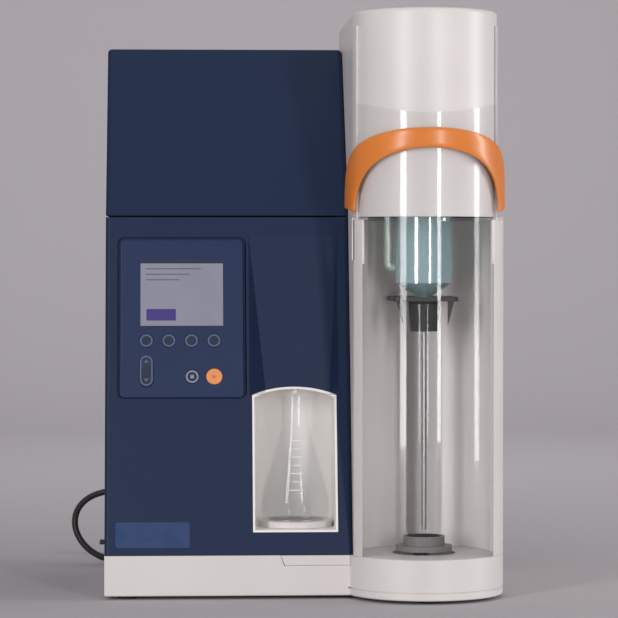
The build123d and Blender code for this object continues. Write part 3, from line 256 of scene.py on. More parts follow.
class UnitFinishes(bpy.types.PropertyGroup):
    """Colours of the unit."""

    case: bpy.props.FloatVectorProperty(
        name="Case blue", description="Dark blue of the moulded case", subtype="COLOR",
        default=hex_colour("#152746"), min=0, max=1)
    panel: bpy.props.FloatVectorProperty(
        name="Panel blue", description="Blue of the control panel pod", subtype="COLOR",
        default=hex_colour("#182a50"), min=0, max=1)
    shell: bpy.props.FloatVectorProperty(
        name="Shell white", description="Warm white of base and tower", subtype="COLOR",
        default=hex_colour("#ddd7d5"), min=0, max=1)
    handle: bpy.props.FloatVectorProperty(
        name="Handle orange", description="Orange of the shield handle", subtype="COLOR",
        default=hex_colour("#e07f2e"), min=0, max=1)
    start: bpy.props.FloatVectorProperty(
        name="Start key", description="Orange of the start key", subtype="COLOR",
        default=hex_colour("#f29a5a"), min=0, max=1)
    screen: bpy.props.FloatVectorProperty(
        name="Display", description="Pale grey of the lit display", subtype="COLOR",
        default=hex_colour("#8b8c9b"), min=0, max=1)
    splash: bpy.props.FloatVectorProperty(
        name="Splash head", description="Tint of the splash head", subtype="COLOR",
        default=hex_colour("#b9e0e6"), min=0, max=1)


class UnitSizes(bpy.types.PropertyGroup):
    """Sizes of the small pieces."""

    ring_width: bpy.props.FloatProperty(
        name="Ring width", description="Width of the printed ring round a key",
        default=0.0018, unit="LENGTH")
    ink_height: bpy.props.FloatProperty(
        name="Ink height", description="How far printed marks stand proud",
        default=0.00025, unit="LENGTH")
    cord_diameter: bpy.props.FloatProperty(
        name="Lead diameter", description="Diameter of the mains lead",
        default=0.008, unit="LENGTH")


def finishes():
    return bpy.context.scene.unit_finishes


def sizes():
    return bpy.context.scene.unit_sizes


def dress(material, *nodes):
    """Gives CAD nodes a material."""
    for node in nodes:
        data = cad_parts[node].data
        data.materials.clear()
        data.materials.append(material)


def nodes_named(*starts):
    return [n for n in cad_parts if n.startswith(starts)]


def begin():
    """Object mode with nothing selected."""
    if bpy.context.object and bpy.context.object.mode != "OBJECT":
        bpy.ops.object.mode_set(mode="OBJECT")
    bpy.ops.object.select_all(action="DESELECT")


def finish_piece(piece, name, material, body):
    """Applies the place, names the piece, gives it its material and lets it ride."""
    bpy.ops.object.select_all(action="DESELECT")
    piece.select_set(True)
    bpy.context.view_layer.objects.active = piece
    bpy.ops.object.transform_apply(location=True, rotation=True, scale=True)
    piece.name = name
    piece.data.name = name
    piece.data.materials.clear()
    piece.data.materials.append(material)
    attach(piece, body)
    return piece


def apply_modifiers(piece):
    bpy.ops.object.select_all(action="DESELECT")
    piece.select_set(True)
    bpy.context.view_layer.objects.active = piece
    for modifier in list(piece.modifiers):
        bpy.ops.object.modifier_apply(modifier=modifier.name)


def round_edges(piece, width, segments=2, limit=40):
    """Bevels the sharp edges of a piece and shades it smooth."""
    bevel = piece.modifiers.new("edges", "BEVEL")
    bevel.width = width
    bevel.segments = segments
    bevel.angle_limit = math.radians(limit)
    apply_modifiers(piece)
    bpy.ops.object.shade_smooth_by_angle(angle=math.radians(35))


def flat_ring(centre, turn, outer, inner, height, sides=48):
    """Ring with a flat top, lying on the plane that turn gives."""
    begin()
    bpy.ops.mesh.primitive_circle_add(vertices=sides, radius=outer, fill_type="NGON",
                                      location=centre, rotation=turn)
    ring = bpy.context.object
    bpy.ops.object.mode_set(mode="EDIT")
    bpy.ops.mesh.select_all(action="SELECT")
    bpy.ops.mesh.inset(thickness=outer - inner, depth=0)
    bpy.ops.mesh.delete(type="FACE")
    bpy.ops.mesh.select_all(action="SELECT")
    bpy.ops.mesh.extrude_region_move(TRANSFORM_OT_translate={"value": turned(turn, (0, 0, height))})
    bpy.ops.mesh.select_all(action="SELECT")
    bpy.ops.mesh.normals_make_consistent(inside=False)
    bpy.ops.object.mode_set(mode="OBJECT")
    return ring


def turned(turn, offset):
    """An offset in the plane's own axes, as an offset in the frame's."""
    matrix = Matrix.Rotation(turn[2], 3, "Z") @ Matrix.Rotation(turn[1], 3, "Y") \
        @ Matrix.Rotation(turn[0], 3, "X")
    return tuple(matrix @ Vector(offset))


def plate_of(outline, centre, turn, height, bevel=0.0):
    """Flat plate with the given outline, in the plane's own axes, raised by height."""
    begin()
    bpy.ops.mesh.primitive_circle_add(vertices=len(outline), radius=0.01, fill_type="NGON",
                                      location=centre, rotation=turn)
    plate = bpy.context.object
    for vertex, (x, y) in zip(plate.data.vertices, outline):
        vertex.co = (x, y, 0)
    bpy.ops.object.mode_set(mode="EDIT")
    bpy.ops.mesh.select_all(action="SELECT")
    bpy.ops.mesh.extrude_region_move(TRANSFORM_OT_translate={"value": turned(turn, (0, 0, height))})
    bpy.ops.mesh.select_all(action="SELECT")
    bpy.ops.mesh.normals_make_consistent(inside=False)
    bpy.ops.object.mode_set(mode="OBJECT")
    if bevel:
        round_edges(plate, bevel)
    return plate


def rectangle(width, height, x=0.0, y=0.0):
    return [(x - width / 2, y - height / 2), (x + width / 2, y - height / 2),
            (x + width / 2, y + height / 2), (x - width / 2, y + height / 2)]


def slot_outline(width, height, steps=12):
    """Upright slot with round ends."""
    radius = width / 2
    reach = height / 2 - radius
    ends = []
    for side, start in ((1, 0.0), (-1, math.pi)):
        for step in range(steps + 1):
            angle = start + math.pi * step / steps
            ends.append((radius * math.cos(angle), side * reach + radius * math.sin(angle)))
    return ends


def frame_of(outline, inner, centre, turn, height):
    """Thin frame between two outlines with as many points each."""
    begin()
    count = len(outline)
    bpy.ops.mesh.primitive_circle_add(vertices=count, radius=0.01, fill_type="NOTHING",
                                      location=centre, rotation=turn)
    strip = bpy.context.object
    for vertex, (x, y) in zip(strip.data.vertices, outline):
        vertex.co = (x, y, 0)
    bpy.ops.object.mode_set(mode="EDIT")
    bpy.ops.mesh.select_all(action="SELECT")
    bpy.ops.mesh.extrude_region_move()
    bpy.ops.object.mode_set(mode="OBJECT")
    for index, (x, y) in enumerate(inner):
        strip.data.vertices[count + index].co = (x, y, 0)
    bpy.ops.object.mode_set(mode="EDIT")
    bpy.ops.mesh.select_all(action="SELECT")
    bpy.ops.mesh.extrude_region_move(TRANSFORM_OT_translate={"value": turned(turn, (0, 0, height))})
    bpy.ops.mesh.select_all(action="SELECT")
    bpy.ops.mesh.normals_make_consistent(inside=False)
    bpy.ops.object.mode_set(mode="OBJECT")
    return strip


# Places and sizes of the printed marks on the leaning front, as (x, z) and (width, height)
SCREEN_PROUD = 0.0022
FACE_ROTATION = (FACE_TURN, 0.0, 0.0)
KEY_BOX_DROP = 0.0006
KEY_RING_R = 0.0074
STOP_MARK = 0.0042
START_MARK = [(-0.0022, -0.003), (0.0034, 0), (-0.0022, 0.003)]
ROCKER_SIZE = (0.0150, 0.0360)
ARROW_HALF = 0.003
ARROW_FOOT = 0.0095
ARROW_TIP = 0.0135
PLATE_SIZE = (0.086, 0.030)
PLATE_CORNER = 0.003
PLATE_SPOT = (-0.178, 0.0745)
PLATE_HEIGHT = 0.0006
DISPLAY_INK = 0.0001
BAR_LEFT = -0.1861
BAR_RIGHT_ENDS = (-0.121, -0.1345, -0.1468)
BAR_TOP = 0.3823
BAR_PITCH = 0.0065
BAR_HEIGHT = 0.0012
BLOCK_SIZE = (0.0346, 0.0139)
BLOCK_SPOT = (-0.1681, 0.3282)
TOP_LINE_SIZE = (0.100, 0.0026)
TOP_LINE_SPOT = (-0.14375, 0.3915)
TOP_LINE_HEIGHT = 0.0002

# Floor that sweeps up into the wall, then the lights: name, place, aim, size and watts
FLOOR_SIZE = (14, 9)
FLOOR_SHIFT = -1.5
SWEEP_STEPS = 8
SWEEP_STEP = 0.24
WALL_HEIGHT = 5
LIGHTS = (
    ("left_strip", (-1.42, -2.18, 0.75), (0.14, -0.1, 0.4), (0.45, 1.8), 31.0),
    ("front_strip", (1.0, -2.76, 0.7), (0.14, -0.1, 0.35), (0.28, 1.6), 23.0),
    ("right_strip", (2.3, -0.35, 0.7), (0.14, -0.1, 0.4), (0.36, 1.6), 23.0),
    ("top_light", (0.2, -0.3, 2.4), (0, 0, 0.3), (2.0, 1.6), 6.0),
    ("wall_light", (0.3, 1.1, 2.6), (0.6, 4.6, 0.9), (5.0, 0.5), 66.0),
)


class UnitOperator:
    """Shared settings of the operators."""

    bl_options = {"REGISTER", "UNDO"}


class UNIT_OT_case_finish(UnitOperator, bpy.types.Operator):
    """Finishes the case, base, tower and their inner parts"""

    bl_idname = "unit.case_finish"
    bl_label = "Case finishes"

    def execute(self, context):
        colours = finishes()
        case = moulded_abs("navy_abs", colours.case, 0.5, specular=0.22)
        dress(case, "front_cover", "top_cover")
        shell = moulded_abs("white_abs", colours.shell, 0.38)
        dress(shell, "base_tray", "tower_housing", "tower_sleeve", *nodes_named("guide_rail"))
        # Chamber back and flask bay liner get a lighter copy of the shell white: painted light that lifts
        # the shade inside the chamber and the bay
        dress(moulded_abs("inner_white_painted_light_abs", hex_colour("#f3efec"), 0.4), "chamber_back",
              "flask_bay_liner")
        dress(moulded_abs("tray_abs", colours.shell, 0.34), "drip_tray", "flask_platform")
        dress(clear_sheet("clear_polycarbonate", hex_colour("#3a3d3d"), 0.03, 0.042),
              "safety_shield")
        dress(soft_rubber("black_rubber", hex_colour("#1d1d1e")), *nodes_named("foot_"))
        dress(soft_rubber("stopper_rubber", hex_colour("#0b0b0c")), "tube_stopper")
        steel = brushed_steel("brushed_stainless", hex_colour("#b9babc"))
        dress(steel, "chassis_frame", "steam_generator", "lift_rod", "steam_tube",
              *nodes_named("hinge_", "handle_bolt"))
        dark = moulded_abs("dark_polypropylene", hex_colour("#2b2b2d"), 0.5)
        dress(dark, "stopper_bracket")
        # Tube platform in mid grey: painted shade that stands for the shadows round the foot of the tube
        dress(moulded_abs("platform_grey_painted_shade", hex_colour("#7d7a7a"), 0.5), "tube_platform")
        dress(moulded_abs("grey_enamel", hex_colour("#8f9194"), 0.5), "alkali_pump", "rear_panel")
        natural = moulded_abs("natural_polypropylene", hex_colour("#dcd9cf"), 0.4)
        dress(natural, "condenser_outlet", "water_inlet", "water_outlet", "reagent_inlet",
              "drain_outlet")
        dress(moulded_abs("black_nylon", hex_colour("#1a1a1c"), 0.45), "mains_inlet",
              "mains_switch")
        return {"FINISHED"}


class UNIT_OT_glassware(UnitOperator, bpy.types.Operator):
    """Finishes the flask, the digestion tube, the splash head and the condenser"""

    bl_idname = "unit.glassware"
    bl_label = "Glassware"

    def execute(self, context):
        clear = laboratory_glass("borosilicate_glass", hex_colour("#a3abab"), 0.04)
        dress(clear, "receiver_flask", "digestion_tube", "condenser")
        tinted = laboratory_glass("splash_head_glass", finishes().splash, 0.55)
        dress(tinted, "splash_head")
        hose = laboratory_glass("clear_hose", hex_colour("#cfe9dc"), 0.55, 0.2)
        dress(hose, "alkali_hose")
        return {"FINISHED"}


class UNIT_OT_panel(UnitOperator, bpy.types.Operator):
    """Finishes the control panel and adds its printed rings and marks, display bars and plate"""

    bl_idname = "unit.panel"
    bl_label = "Control panel"

    def execute(self, context):
        colours = finishes()
        ink = sizes().ink_height
        width = sizes().ring_width
        dress(moulded_abs("panel_abs", colours.panel, 0.45, specular=0.3), "control_bezel")
        keys = gloss_lacquer("key_film", shaded(colours.panel, 0.5), 0.35)
        dress(keys, *nodes_named("key_"), "rocker_key", "stop_key")
        dress(gloss_lacquer("start_film", colours.start, 0.3), "start_key")
        dress(circuit_laminate("board_laminate", hex_colour("#1f5c3a")), "control_board")
        dress(display_glass("display_film", colours.screen), "display_screen")
        self.add_display_marks()
        self.add_name_plate()
        ring_ink = printed_ink("pale_blue_ink", hex_colour("#4d6088"))
        pale_ink = printed_ink("pale_grey_ink", hex_colour("#8890a8"))
        for node in nodes_named("key_"):
            ring = flat_ring(self.key_spot(node), FACE_ROTATION, KEY_RING_R, KEY_RING_R - width, ink)
            finish_piece(ring, f"{node}_ring", ring_ink, node)
        spot = self.key_spot("stop_key")
        ring = flat_ring(spot, FACE_ROTATION, KEY_RING_R, KEY_RING_R - width, ink)
        finish_piece(ring, "stop_key_ring", pale_ink, "stop_key")
        mark = plate_of(rectangle(STOP_MARK, STOP_MARK), spot, FACE_ROTATION, ink)
        finish_piece(mark, "stop_key_mark", pale_ink, "stop_key")
        mark = plate_of(START_MARK, self.key_spot("start_key"), FACE_ROTATION, ink)
        finish_piece(mark, "start_key_mark", printed_ink("warm_white_ink", hex_colour("#d77b3c")),
                     "start_key")
        self.add_rocker_marks(ring_ink, ink, width)
        return {"FINISHED"}

    @staticmethod
    def key_spot(node):
        """Point on the face over a key, whose box is centred a little lower."""
        centre = middle(node)
        return panel_point(centre.x, centre.z + KEY_BOX_DROP, KEY_PROUD)

    def add_rocker_marks(self, material, ink, width):
        """Rim of the rocker key, and an arrow head at each end of it."""
        spot = self.key_spot("rocker_key")
        across, along = ROCKER_SIZE
        inner = slot_outline(across - 2 * width, along - 2 * width)
        rim = frame_of(slot_outline(across, along), inner, spot, FACE_ROTATION, ink)
        finish_piece(rim, "rocker_key_rim", material, "rocker_key")
        for name, side in (("up", 1), ("down", -1)):
            foot = side * ARROW_FOOT
            corners = [(-ARROW_HALF, foot), (ARROW_HALF, foot), (0, side * ARROW_TIP)]
            arrow = plate_of(corners[::side], spot, FACE_ROTATION, ink)
            finish_piece(arrow, f"rocker_key_{name}", material, "rocker_key")

    @staticmethod
    def add_name_plate():
        """Bare plate low on the left of the front."""
        width, height = PLATE_SIZE
        outline = []
        for turn, (x, y) in enumerate(((1, 1), (-1, 1), (-1, -1), (1, -1))):
            for step in range(5):
                angle = math.radians(90 * turn + 22.5 * step)
                outline.append((x * (width / 2 - PLATE_CORNER) + PLATE_CORNER * math.cos(angle),
                                y * (height / 2 - PLATE_CORNER) + PLATE_CORNER * math.sin(angle)))
        plate = plate_of(outline, panel_point(*PLATE_SPOT), FACE_ROTATION, PLATE_HEIGHT)
        finish_piece(plate, "front_plate", gloss_lacquer("plate_film", hex_colour("#1d3a68"), 0.3),
                     "unit")

    @staticmethod
    def add_display_marks():
        """Plain bars where the display shows its lines, a dark line above it and a block."""
        dark = printed_ink("display_grey_ink", hex_colour("#5d5c6e"))
        violet = printed_ink("display_violet_ink", hex_colour("#3b2a7d"))
        for row, right in enumerate(BAR_RIGHT_ENDS):
            spot = panel_point((BAR_LEFT + right) / 2, BAR_TOP - BAR_PITCH * row, SCREEN_PROUD)
            bar = plate_of(rectangle(right - BAR_LEFT, BAR_HEIGHT), spot, FACE_ROTATION, DISPLAY_INK)
            finish_piece(bar, f"display_bar_{row + 1}", dark, "unit")
        block = plate_of(rectangle(*BLOCK_SIZE), panel_point(*BLOCK_SPOT, SCREEN_PROUD),
                         FACE_ROTATION, DISPLAY_INK)
        finish_piece(block, "display_block", violet, "unit")
        line = plate_of(rectangle(*TOP_LINE_SIZE), panel_point(*TOP_LINE_SPOT, PANEL_PROUD),
                        FACE_ROTATION, TOP_LINE_HEIGHT)
        finish_piece(line, "display_top_line", printed_ink("dark_ink", hex_colour("#231f3d")),
                     "unit")


class UNIT_OT_stage(UnitOperator, bpy.types.Operator):
    """Adds the floor, the backdrop, the lights and the camera"""

    bl_idname = "unit.stage"
    bl_label = "Stage"

    def execute(self, context):
        scene = context.scene
        scene.view_settings.view_transform = "Standard"
        self.add_backdrop()
        self.add_world(scene)
        for light in LIGHTS:
            self.add_softbox(*light)
        self.add_camera(scene)
        return {"FINISHED"}

    def add_backdrop(self):
        """Floor that sweeps up into the wall."""
        begin()
        bpy.ops.mesh.primitive_plane_add(size=1, location=(0, 0, 0))
        sweep = bpy.context.object
        sweep.scale = (*FLOOR_SIZE, 1)
        sweep.location = (0, FLOOR_SHIFT, 0)
        bpy.ops.object.transform_apply(location=True, rotation=False, scale=True)
        bpy.ops.object.mode_set(mode="EDIT")
        bpy.ops.mesh.select_all(action="DESELECT")
        bpy.ops.object.mode_set(mode="OBJECT")
        for edge in sweep.data.edges:
            ends = [sweep.data.vertices[i].co.y for i in edge.vertices]
            edge.select = min(ends) > 2
        bpy.ops.object.mode_set(mode="EDIT")
        for turn in range(SWEEP_STEPS):
            angle = math.radians(90 * (turn + 0.5) / SWEEP_STEPS)
            step = (0, SWEEP_STEP * math.cos(angle), SWEEP_STEP * math.sin(angle))
            bpy.ops.mesh.extrude_region_move(TRANSFORM_OT_translate={"value": step})
        bpy.ops.mesh.extrude_region_move(TRANSFORM_OT_translate={"value": (0, 0, WALL_HEIGHT)})
        bpy.ops.object.mode_set(mode="OBJECT")
        bpy.ops.object.shade_smooth()
        sweep.name = "backdrop"
        material, _, shader, _ = new_material("grey_paper")
        set_shader(shader, Roughness=0.9, Base_Color=rgba(hex_colour("#b3aeb1")))
        sweep.data.materials.append(material)

    def add_world(self, scene):
        world = bpy.data.worlds.new("studio")
        world.use_nodes = True
        scene.world = world
        background = world.node_tree.nodes["Background"]
        background.inputs["Color"].default_value = rgba(hex_colour("#c9c7ca"))
        background.inputs["Strength"].default_value = 0.55

    def add_softbox(self, name, spot, aim, size, power):
        light = bpy.data.lights.new(name, "AREA")
        light.shape = "RECTANGLE"
        light.size, light.size_y = size
        light.energy = power
        lamp = bpy.data.objects.new(name, light)
        lamp.location = spot
        lamp.visible_camera = False
        lamp.rotation_euler = (Vector(aim) - Vector(spot)).to_track_quat("-Z", "Y").to_euler()
        bpy.context.scene.collection.objects.link(lamp)

    def add_camera(self, scene):
        data = bpy.data.cameras.new("photo_camera")
        data.sensor_fit = "HORIZONTAL"
        data.sensor_width = SENSOR_WIDTH
        data.lens = PHOTO_FOCAL_PX / PHOTO_SIZE * SENSOR_WIDTH
        data.clip_end = 50
        camera = bpy.data.objects.new("photo_camera", data)
        half = PHOTO_SIZE / 2
        yaw = math.atan((half - EYE_PX[0]) / PHOTO_FOCAL_PX)
        pitch = math.atan((half - EYE_PX[1]) / PHOTO_FOCAL_PX)
        camera.location = EYE
        camera.rotation_euler = (math.pi / 2 - pitch, 0, -yaw)
        scene.collection.objects.link(camera)
        scene.camera = camera


# Handle: a thin moulded band round the tower, standing off the clear shield
TOWER_X = 0.13925
TOWER_Y = -0.098
HANDLE_OUTER_R = 0.0945
HANDLE_WALL = 0.0032
HANDLE_CROWN = 0.0012
HANDLE_UPPER = (math.radians(88), 0.455, 0.090, 0.75)
HANDLE_LOWER = (math.radians(65), 0.449, 0.0725, 1.0)
HANDLE_COLUMNS = 72
HANDLE_ROWS = 8
BOSS_ANGLE = math.radians(62.5)
BOSS_HEIGHT = 0.494
BOSS_R = 0.006
BOSS_INNER_R = 0.0879
BOSS_SINK = 0.0004

# Shoulders: angles from the front in degrees, the left one ending where the housing is cut flat
SHOULDER_NEAR = 55.5
SHOULDER_FAR_ENDS = (("left", -1, 66.2), ("right", 1, 88.0))
SHOULDER_R = 0.0923
SHOULDER_LOW = 0.3885
SHOULDER_RISE = 0.0511
SHOULDER_WALL = 0.0036


def tower_point(angle, radius, height):
    """Point round the tower axis; the angle runs from the front, to the right."""
    return (TOWER_X + radius * math.sin(angle), TOWER_Y - radius * math.cos(angle), height)


def handle_edge(turn, edge):
    """Angle and height of a handle edge; turn runs from -90 to 90 degrees."""
    reach, low, rise, power = edge
    return reach * math.sin(turn), low + rise * max(math.cos(turn), 0.0) ** power


def curved_plate(columns, rows, spot, wall):
    """Plate bent round an upright axis: spot gives each grid point, with shares from 0 to 1."""
    begin()
    bpy.ops.mesh.primitive_grid_add(x_subdivisions=columns, y_subdivisions=rows, size=2)
    plate = bpy.context.object
    for vertex in plate.data.vertices:
        vertex.co = spot((vertex.co.x + 1) / 2, (vertex.co.y + 1) / 2)
    bpy.ops.object.mode_set(mode="EDIT")
    bpy.ops.mesh.select_all(action="SELECT")
    bpy.ops.mesh.normals_make_consistent(inside=False)
    bpy.ops.object.mode_set(mode="OBJECT")
    face = plate.data.polygons[0]
    # Also holds for the marks of the flask, whose first face looks away from the tower
    outward = face.center - Vector((TOWER_X, TOWER_Y, face.center.z))
    if face.normal.dot(outward) < 0:
        bpy.ops.object.mode_set(mode="EDIT")
        bpy.ops.mesh.flip_normals()
        bpy.ops.object.mode_set(mode="OBJECT")
    solid = plate.modifiers.new("wall", "SOLIDIFY")
    solid.thickness = wall
    solid.offset = -1
    apply_modifiers(plate)
    return plate


class UNIT_OT_shoulders(UnitOperator, bpy.types.Operator):
    """Adds the two plates that carry the wings of the tower up to its sleeve"""

    bl_idname = "unit.shoulders"
    bl_label = "Tower shoulders"

    def execute(self, context):
        shell = bpy.data.materials["white_abs"]
        for name, side, far in SHOULDER_FAR_ENDS:
            def spot(across, up):
                angle = side * math.radians(SHOULDER_NEAR + (far - SHOULDER_NEAR) * across)
                return tower_point(angle, SHOULDER_R, SHOULDER_LOW + SHOULDER_RISE * up)
            plate = curved_plate(16, 4, spot, SHOULDER_WALL)
            round_edges(plate, 0.0006)
            finish_piece(plate, f"tower_shoulder_{name}", shell, "unit")
        return {"FINISHED"}


class UNIT_OT_handle(UnitOperator, bpy.types.Operator):
    """Adds the orange lift handle and the two bosses that carry it"""

    bl_idname = "unit.handle"
    bl_label = "Lift handle"

    def execute(self, context):
        orange = gloss_lacquer("orange_nylon", finishes().handle)
        band = curved_plate(HANDLE_COLUMNS, HANDLE_ROWS, self.band_point, HANDLE_WALL)
        round_edges(band, 0.0012, 3)
        bpy.ops.object.shade_smooth_by_angle(angle=math.radians(50))
        finish_piece(band, "lift_handle_band", orange, "shield")
        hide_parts("lift_handle")
        for name, side in (("left", -1), ("right", 1)):
            self.add_boss(f"handle_boss_{name}", side, orange, f"handle_bolt_{name}")
        return {"FINISHED"}

    @staticmethod
    def band_point(along, across):
        """Point of the outer face of the band, slightly crowned across its width."""
        turn = (2 * along - 1) * math.pi / 2
        low_angle, low_z = handle_edge(turn, HANDLE_LOWER)
        high_angle, high_z = handle_edge(turn, HANDLE_UPPER)
        radius = HANDLE_OUTER_R - HANDLE_CROWN * (2 * across - 1) ** 4
        return tower_point(low_angle + (high_angle - low_angle) * across, radius,
                           low_z + (high_z - low_z) * across)

    def add_boss(self, name, side, material, node):
        """Short round boss between the shield and the band."""
        outer = HANDLE_OUTER_R - HANDLE_WALL + BOSS_SINK
        centre = tower_point(side * BOSS_ANGLE, BOSS_INNER_R, BOSS_HEIGHT)
        turn = (math.pi / 2, 0.0, side * BOSS_ANGLE)
        begin()
        bpy.ops.mesh.primitive_circle_add(vertices=32, radius=BOSS_R, fill_type="NGON",
                                          location=centre, rotation=turn)
        boss = bpy.context.object
        bpy.ops.object.mode_set(mode="EDIT")
        bpy.ops.mesh.select_all(action="SELECT")
        out = Vector(tower_point(side * BOSS_ANGLE, outer, 0)) \
            - Vector(tower_point(side * BOSS_ANGLE, BOSS_INNER_R, 0))
        bpy.ops.mesh.extrude_region_move(TRANSFORM_OT_translate={"value": tuple(out)})
        bpy.ops.mesh.select_all(action="SELECT")
        bpy.ops.mesh.normals_make_consistent(inside=False)
        bpy.ops.object.mode_set(mode="OBJECT")
        round_edges(boss, 0.0004)
        finish_piece(boss, name, material, "shield")
        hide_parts(node)


# Flask cone, for the graduation marks on it
FLASK_AXIS = (-0.00975, -0.062)
FLASK_CONE_LOW = (0.112, 0.0410)
FLASK_CONE_HIGH = (0.1976, 0.0170)
MARK_LOW = 0.124
MARK_PITCH = 0.0095
MARK_COUNT = 7
MARK_HEIGHT = 0.0009
MARK_GAP = 0.0004
MARK_WALL = 0.00025

# Screws of the rear panel
SCREW_SPOTS = ((-0.2225, 0.064), (0.0425, 0.064), (-0.2225, 0.425), (0.0425, 0.425))
SCREW_R = 0.0034
SCREW_HEIGHT = 0.0016
REAR_FACE_Y = 0.172


class UNIT_OT_details(UnitOperator, bpy.types.Operator):
    """Adds the graduation marks of the flask and the screws of the rear panel"""

    bl_idname = "unit.details"
    bl_label = "Marks and screws"

    def execute(self, context):
        white = printed_ink("white_enamel", hex_colour("#f4f4f2"))
        for index in range(MARK_COUNT):
            height = MARK_LOW + MARK_PITCH * index
            half = math.radians(13 if index % 2 == 0 else 8)
            mark = curved_plate(8, 1, lambda a, u: self.cone_point(a, u, height, half), MARK_WALL)
            finish_piece(mark, f"flask_mark_{index + 1}", white, "flask")
        steel = bpy.data.materials["brushed_stainless"]
        for index, (x, z) in enumerate(SCREW_SPOTS):
            self.add_screw(f"rear_screw_{index + 1}", x, z, steel)
        return {"FINISHED"}

    @staticmethod
    def cone_point(across, up, height, half):
        """Point just outside the glass cone, on its front."""
        z = height + MARK_HEIGHT * up
        share = (z - FLASK_CONE_LOW[0]) / (FLASK_CONE_HIGH[0] - FLASK_CONE_LOW[0])
        radius = FLASK_CONE_LOW[1] + (FLASK_CONE_HIGH[1] - FLASK_CONE_LOW[1]) * share + MARK_GAP
        angle = half * (2 * across - 1)
        return (FLASK_AXIS[0] + radius * math.sin(angle),
                FLASK_AXIS[1] - radius * math.cos(angle), z)

    @staticmethod
    def add_screw(name, x, z, material):
        """Pan head with a socket sunk into it."""
        turn = (-math.pi / 2, 0.0, 0.0)
        begin()
        bpy.ops.mesh.primitive_circle_add(vertices=30, radius=SCREW_R, fill_type="NGON",
                                          location=(x, REAR_FACE_Y, z), rotation=turn)
        screw = bpy.context.object
        bpy.ops.object.mode_set(mode="EDIT")
        bpy.ops.mesh.select_all(action="SELECT")
        bpy.ops.mesh.extrude_region_move(TRANSFORM_OT_translate={"value": (0, SCREW_HEIGHT, 0)})
        bpy.ops.mesh.inset(thickness=SCREW_R * 0.5, depth=0)
        bpy.ops.mesh.extrude_region_move(
            TRANSFORM_OT_translate={"value": (0, -SCREW_HEIGHT * 0.6, 0)})
        bpy.ops.mesh.select_all(action="SELECT")
        bpy.ops.mesh.normals_make_consistent(inside=False)
        bpy.ops.object.mode_set(mode="OBJECT")
        round_edges(screw, 0.0003)
        finish_piece(screw, name, material, "unit")


# Mains cord: the route of the plain model in metres, then the coil turns, then the tail
CORD_LEAD = (
    (-0.20275, 0.214, 0.095), (-0.20275, 0.236, 0.095), (-0.2178, 0.2577, 0.0955),
    (-0.2395, 0.269, 0.094), (-0.2645, 0.268, 0.086), (-0.280, 0.262, 0.069),
    (-0.2815, 0.256, 0.046), (-0.269, 0.252, 0.024), (-0.247, 0.251, 0.009),
    (-0.222, 0.255, 0.0043), (-0.196, 0.262, 0.0043), (-0.169, 0.268, 0.0043),
    (-0.142, 0.2692, 0.0043), (-0.117, 0.2707, 0.0043),
)
CORD_TAIL = (
    (-0.117, 0.3897, 0.0043), (-0.138, 0.3868, 0.0093), (-0.160, 0.3813, 0.0163),
    (-0.181, 0.3813, 0.0163),
)
COIL_CENTRE = (-0.095, 0.330)
COIL_TURNS = 4.5
COIL_STEPS = 16
COIL_OUTER_R = 0.0512
COIL_INNER_R = 0.0430
COIL_LOW = 0.0044
COIL_HIGH = 0.0124
COIL_TOP_RISE = 0.0068
# Turn counts between which the cord moves inward, up a layer, outward and onto the top
COIL_INWARD = (0.85, 1.1)
COIL_UPWARD = (1.85, 2.1)
COIL_OUTWARD = (2.85, 3.1)
COIL_ONTO_TOP = (3.85, 4.1)


def coil_points():
    """Turns of the coil: two layers of two turns, and the last half turn in the groove on top."""
    points = []
    count = int(COIL_TURNS * COIL_STEPS)
    for step in range(count + 1):
        turn = step / COIL_STEPS
        angle = 2 * math.pi * turn - math.pi / 2
        inward = smooth_step(turn, *COIL_INWARD) - smooth_step(turn, *COIL_OUTWARD)
        on_top = smooth_step(turn, *COIL_ONTO_TOP)
        inward += on_top / 2
        layer = smooth_step(turn, *COIL_UPWARD)
        radius = COIL_OUTER_R + (COIL_INNER_R - COIL_OUTER_R) * inward
        height = COIL_LOW + (COIL_HIGH - COIL_LOW) * layer + COIL_TOP_RISE * on_top
        points.append((COIL_CENTRE[0] + radius * math.cos(angle),
                       COIL_CENTRE[1] + radius * math.sin(angle), height))
    return points


def smooth_step(value, low, high):
    share = min(max((value - low) / (high - low), 0.0), 1.0)
    return share * share * (3 - 2 * share)


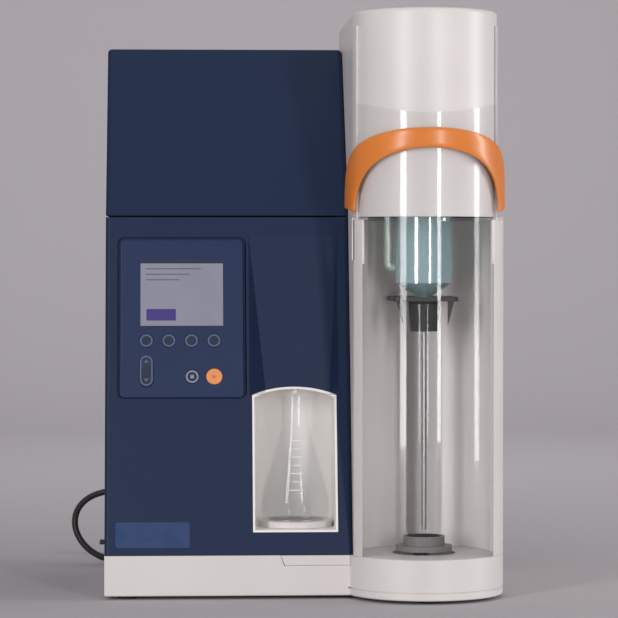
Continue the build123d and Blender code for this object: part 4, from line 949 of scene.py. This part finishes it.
class UNIT_OT_cord(UnitOperator, bpy.types.Operator):
    """Adds the mains cord from the back of the unit to its plug"""

    bl_idname = "unit.cord"
    bl_label = "Mains cord"

    def execute(self, context):
        begin()
        diameter = sizes().cord_diameter
        route = [*CORD_LEAD, *coil_points(), *CORD_TAIL]
        bpy.ops.curve.primitive_nurbs_path_add(location=(0, 0, 0))
        cord = bpy.context.object
        curve = cord.data
        curve.splines.clear()
        spline = curve.splines.new("NURBS")
        spline.points.add(len(route) - 1)
        for point, place in zip(spline.points, route):
            point.co = (*place, 1.0)
        spline.order_u = 3
        spline.use_endpoint_u = True
        spline.resolution_u = 4
        curve.bevel_depth = diameter / 2
        curve.bevel_resolution = 5
        curve.use_fill_caps = True
        cord.name = "mains_cord"
        curve.name = "mains_cord"
        rubber = soft_rubber("cord_rubber", hex_colour("#18181a"), 0.5)
        curve.materials.append(rubber)
        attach(cord, "unit")
        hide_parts("mains_lead", "mains_lead_coil", "mains_lead_tail")
        dress(rubber, "mains_plug", "mains_connector")
        return {"FINISHED"}


PIECES = (
    UNIT_OT_stage,
    UNIT_OT_cord,
    UNIT_OT_case_finish,
    UNIT_OT_glassware,
    UNIT_OT_panel,
    UNIT_OT_shoulders,
    UNIT_OT_handle,
    UNIT_OT_details,
)


class UNIT_PT_sidebar(bpy.types.Panel):
    """Lists the pieces of the unit"""

    bl_label = "Distillation unit"
    bl_idname = "UNIT_PT_sidebar"
    bl_space_type = "VIEW_3D"
    bl_region_type = "UI"
    bl_category = "Distillation unit"

    def draw(self, context):
        column = self.layout.column()
        for name in ("case", "panel", "shell", "handle", "start", "screen", "splash"):
            column.prop(context.scene.unit_finishes, name)
        for name in ("ring_width", "ink_height", "cord_diameter"):
            column.prop(context.scene.unit_sizes, name)
        for piece in PIECES:
            column.operator(piece.bl_idname)


CLASSES = (UnitFinishes, UnitSizes, *PIECES, UNIT_PT_sidebar)


def register():
    for cls in CLASSES:
        bpy.utils.register_class(cls)
    bpy.types.Scene.unit_finishes = bpy.props.PointerProperty(type=UnitFinishes)
    bpy.types.Scene.unit_sizes = bpy.props.PointerProperty(type=UnitSizes)


def unregister():
    del bpy.types.Scene.unit_sizes
    del bpy.types.Scene.unit_finishes
    for cls in reversed(CLASSES):
        bpy.utils.unregister_class(cls)


def main():
    register()
    for piece in PIECES:
        group, _, operator = piece.bl_idname.partition(".")
        getattr(getattr(bpy.ops, group), operator)()


if __name__ == "__main__":
    main()
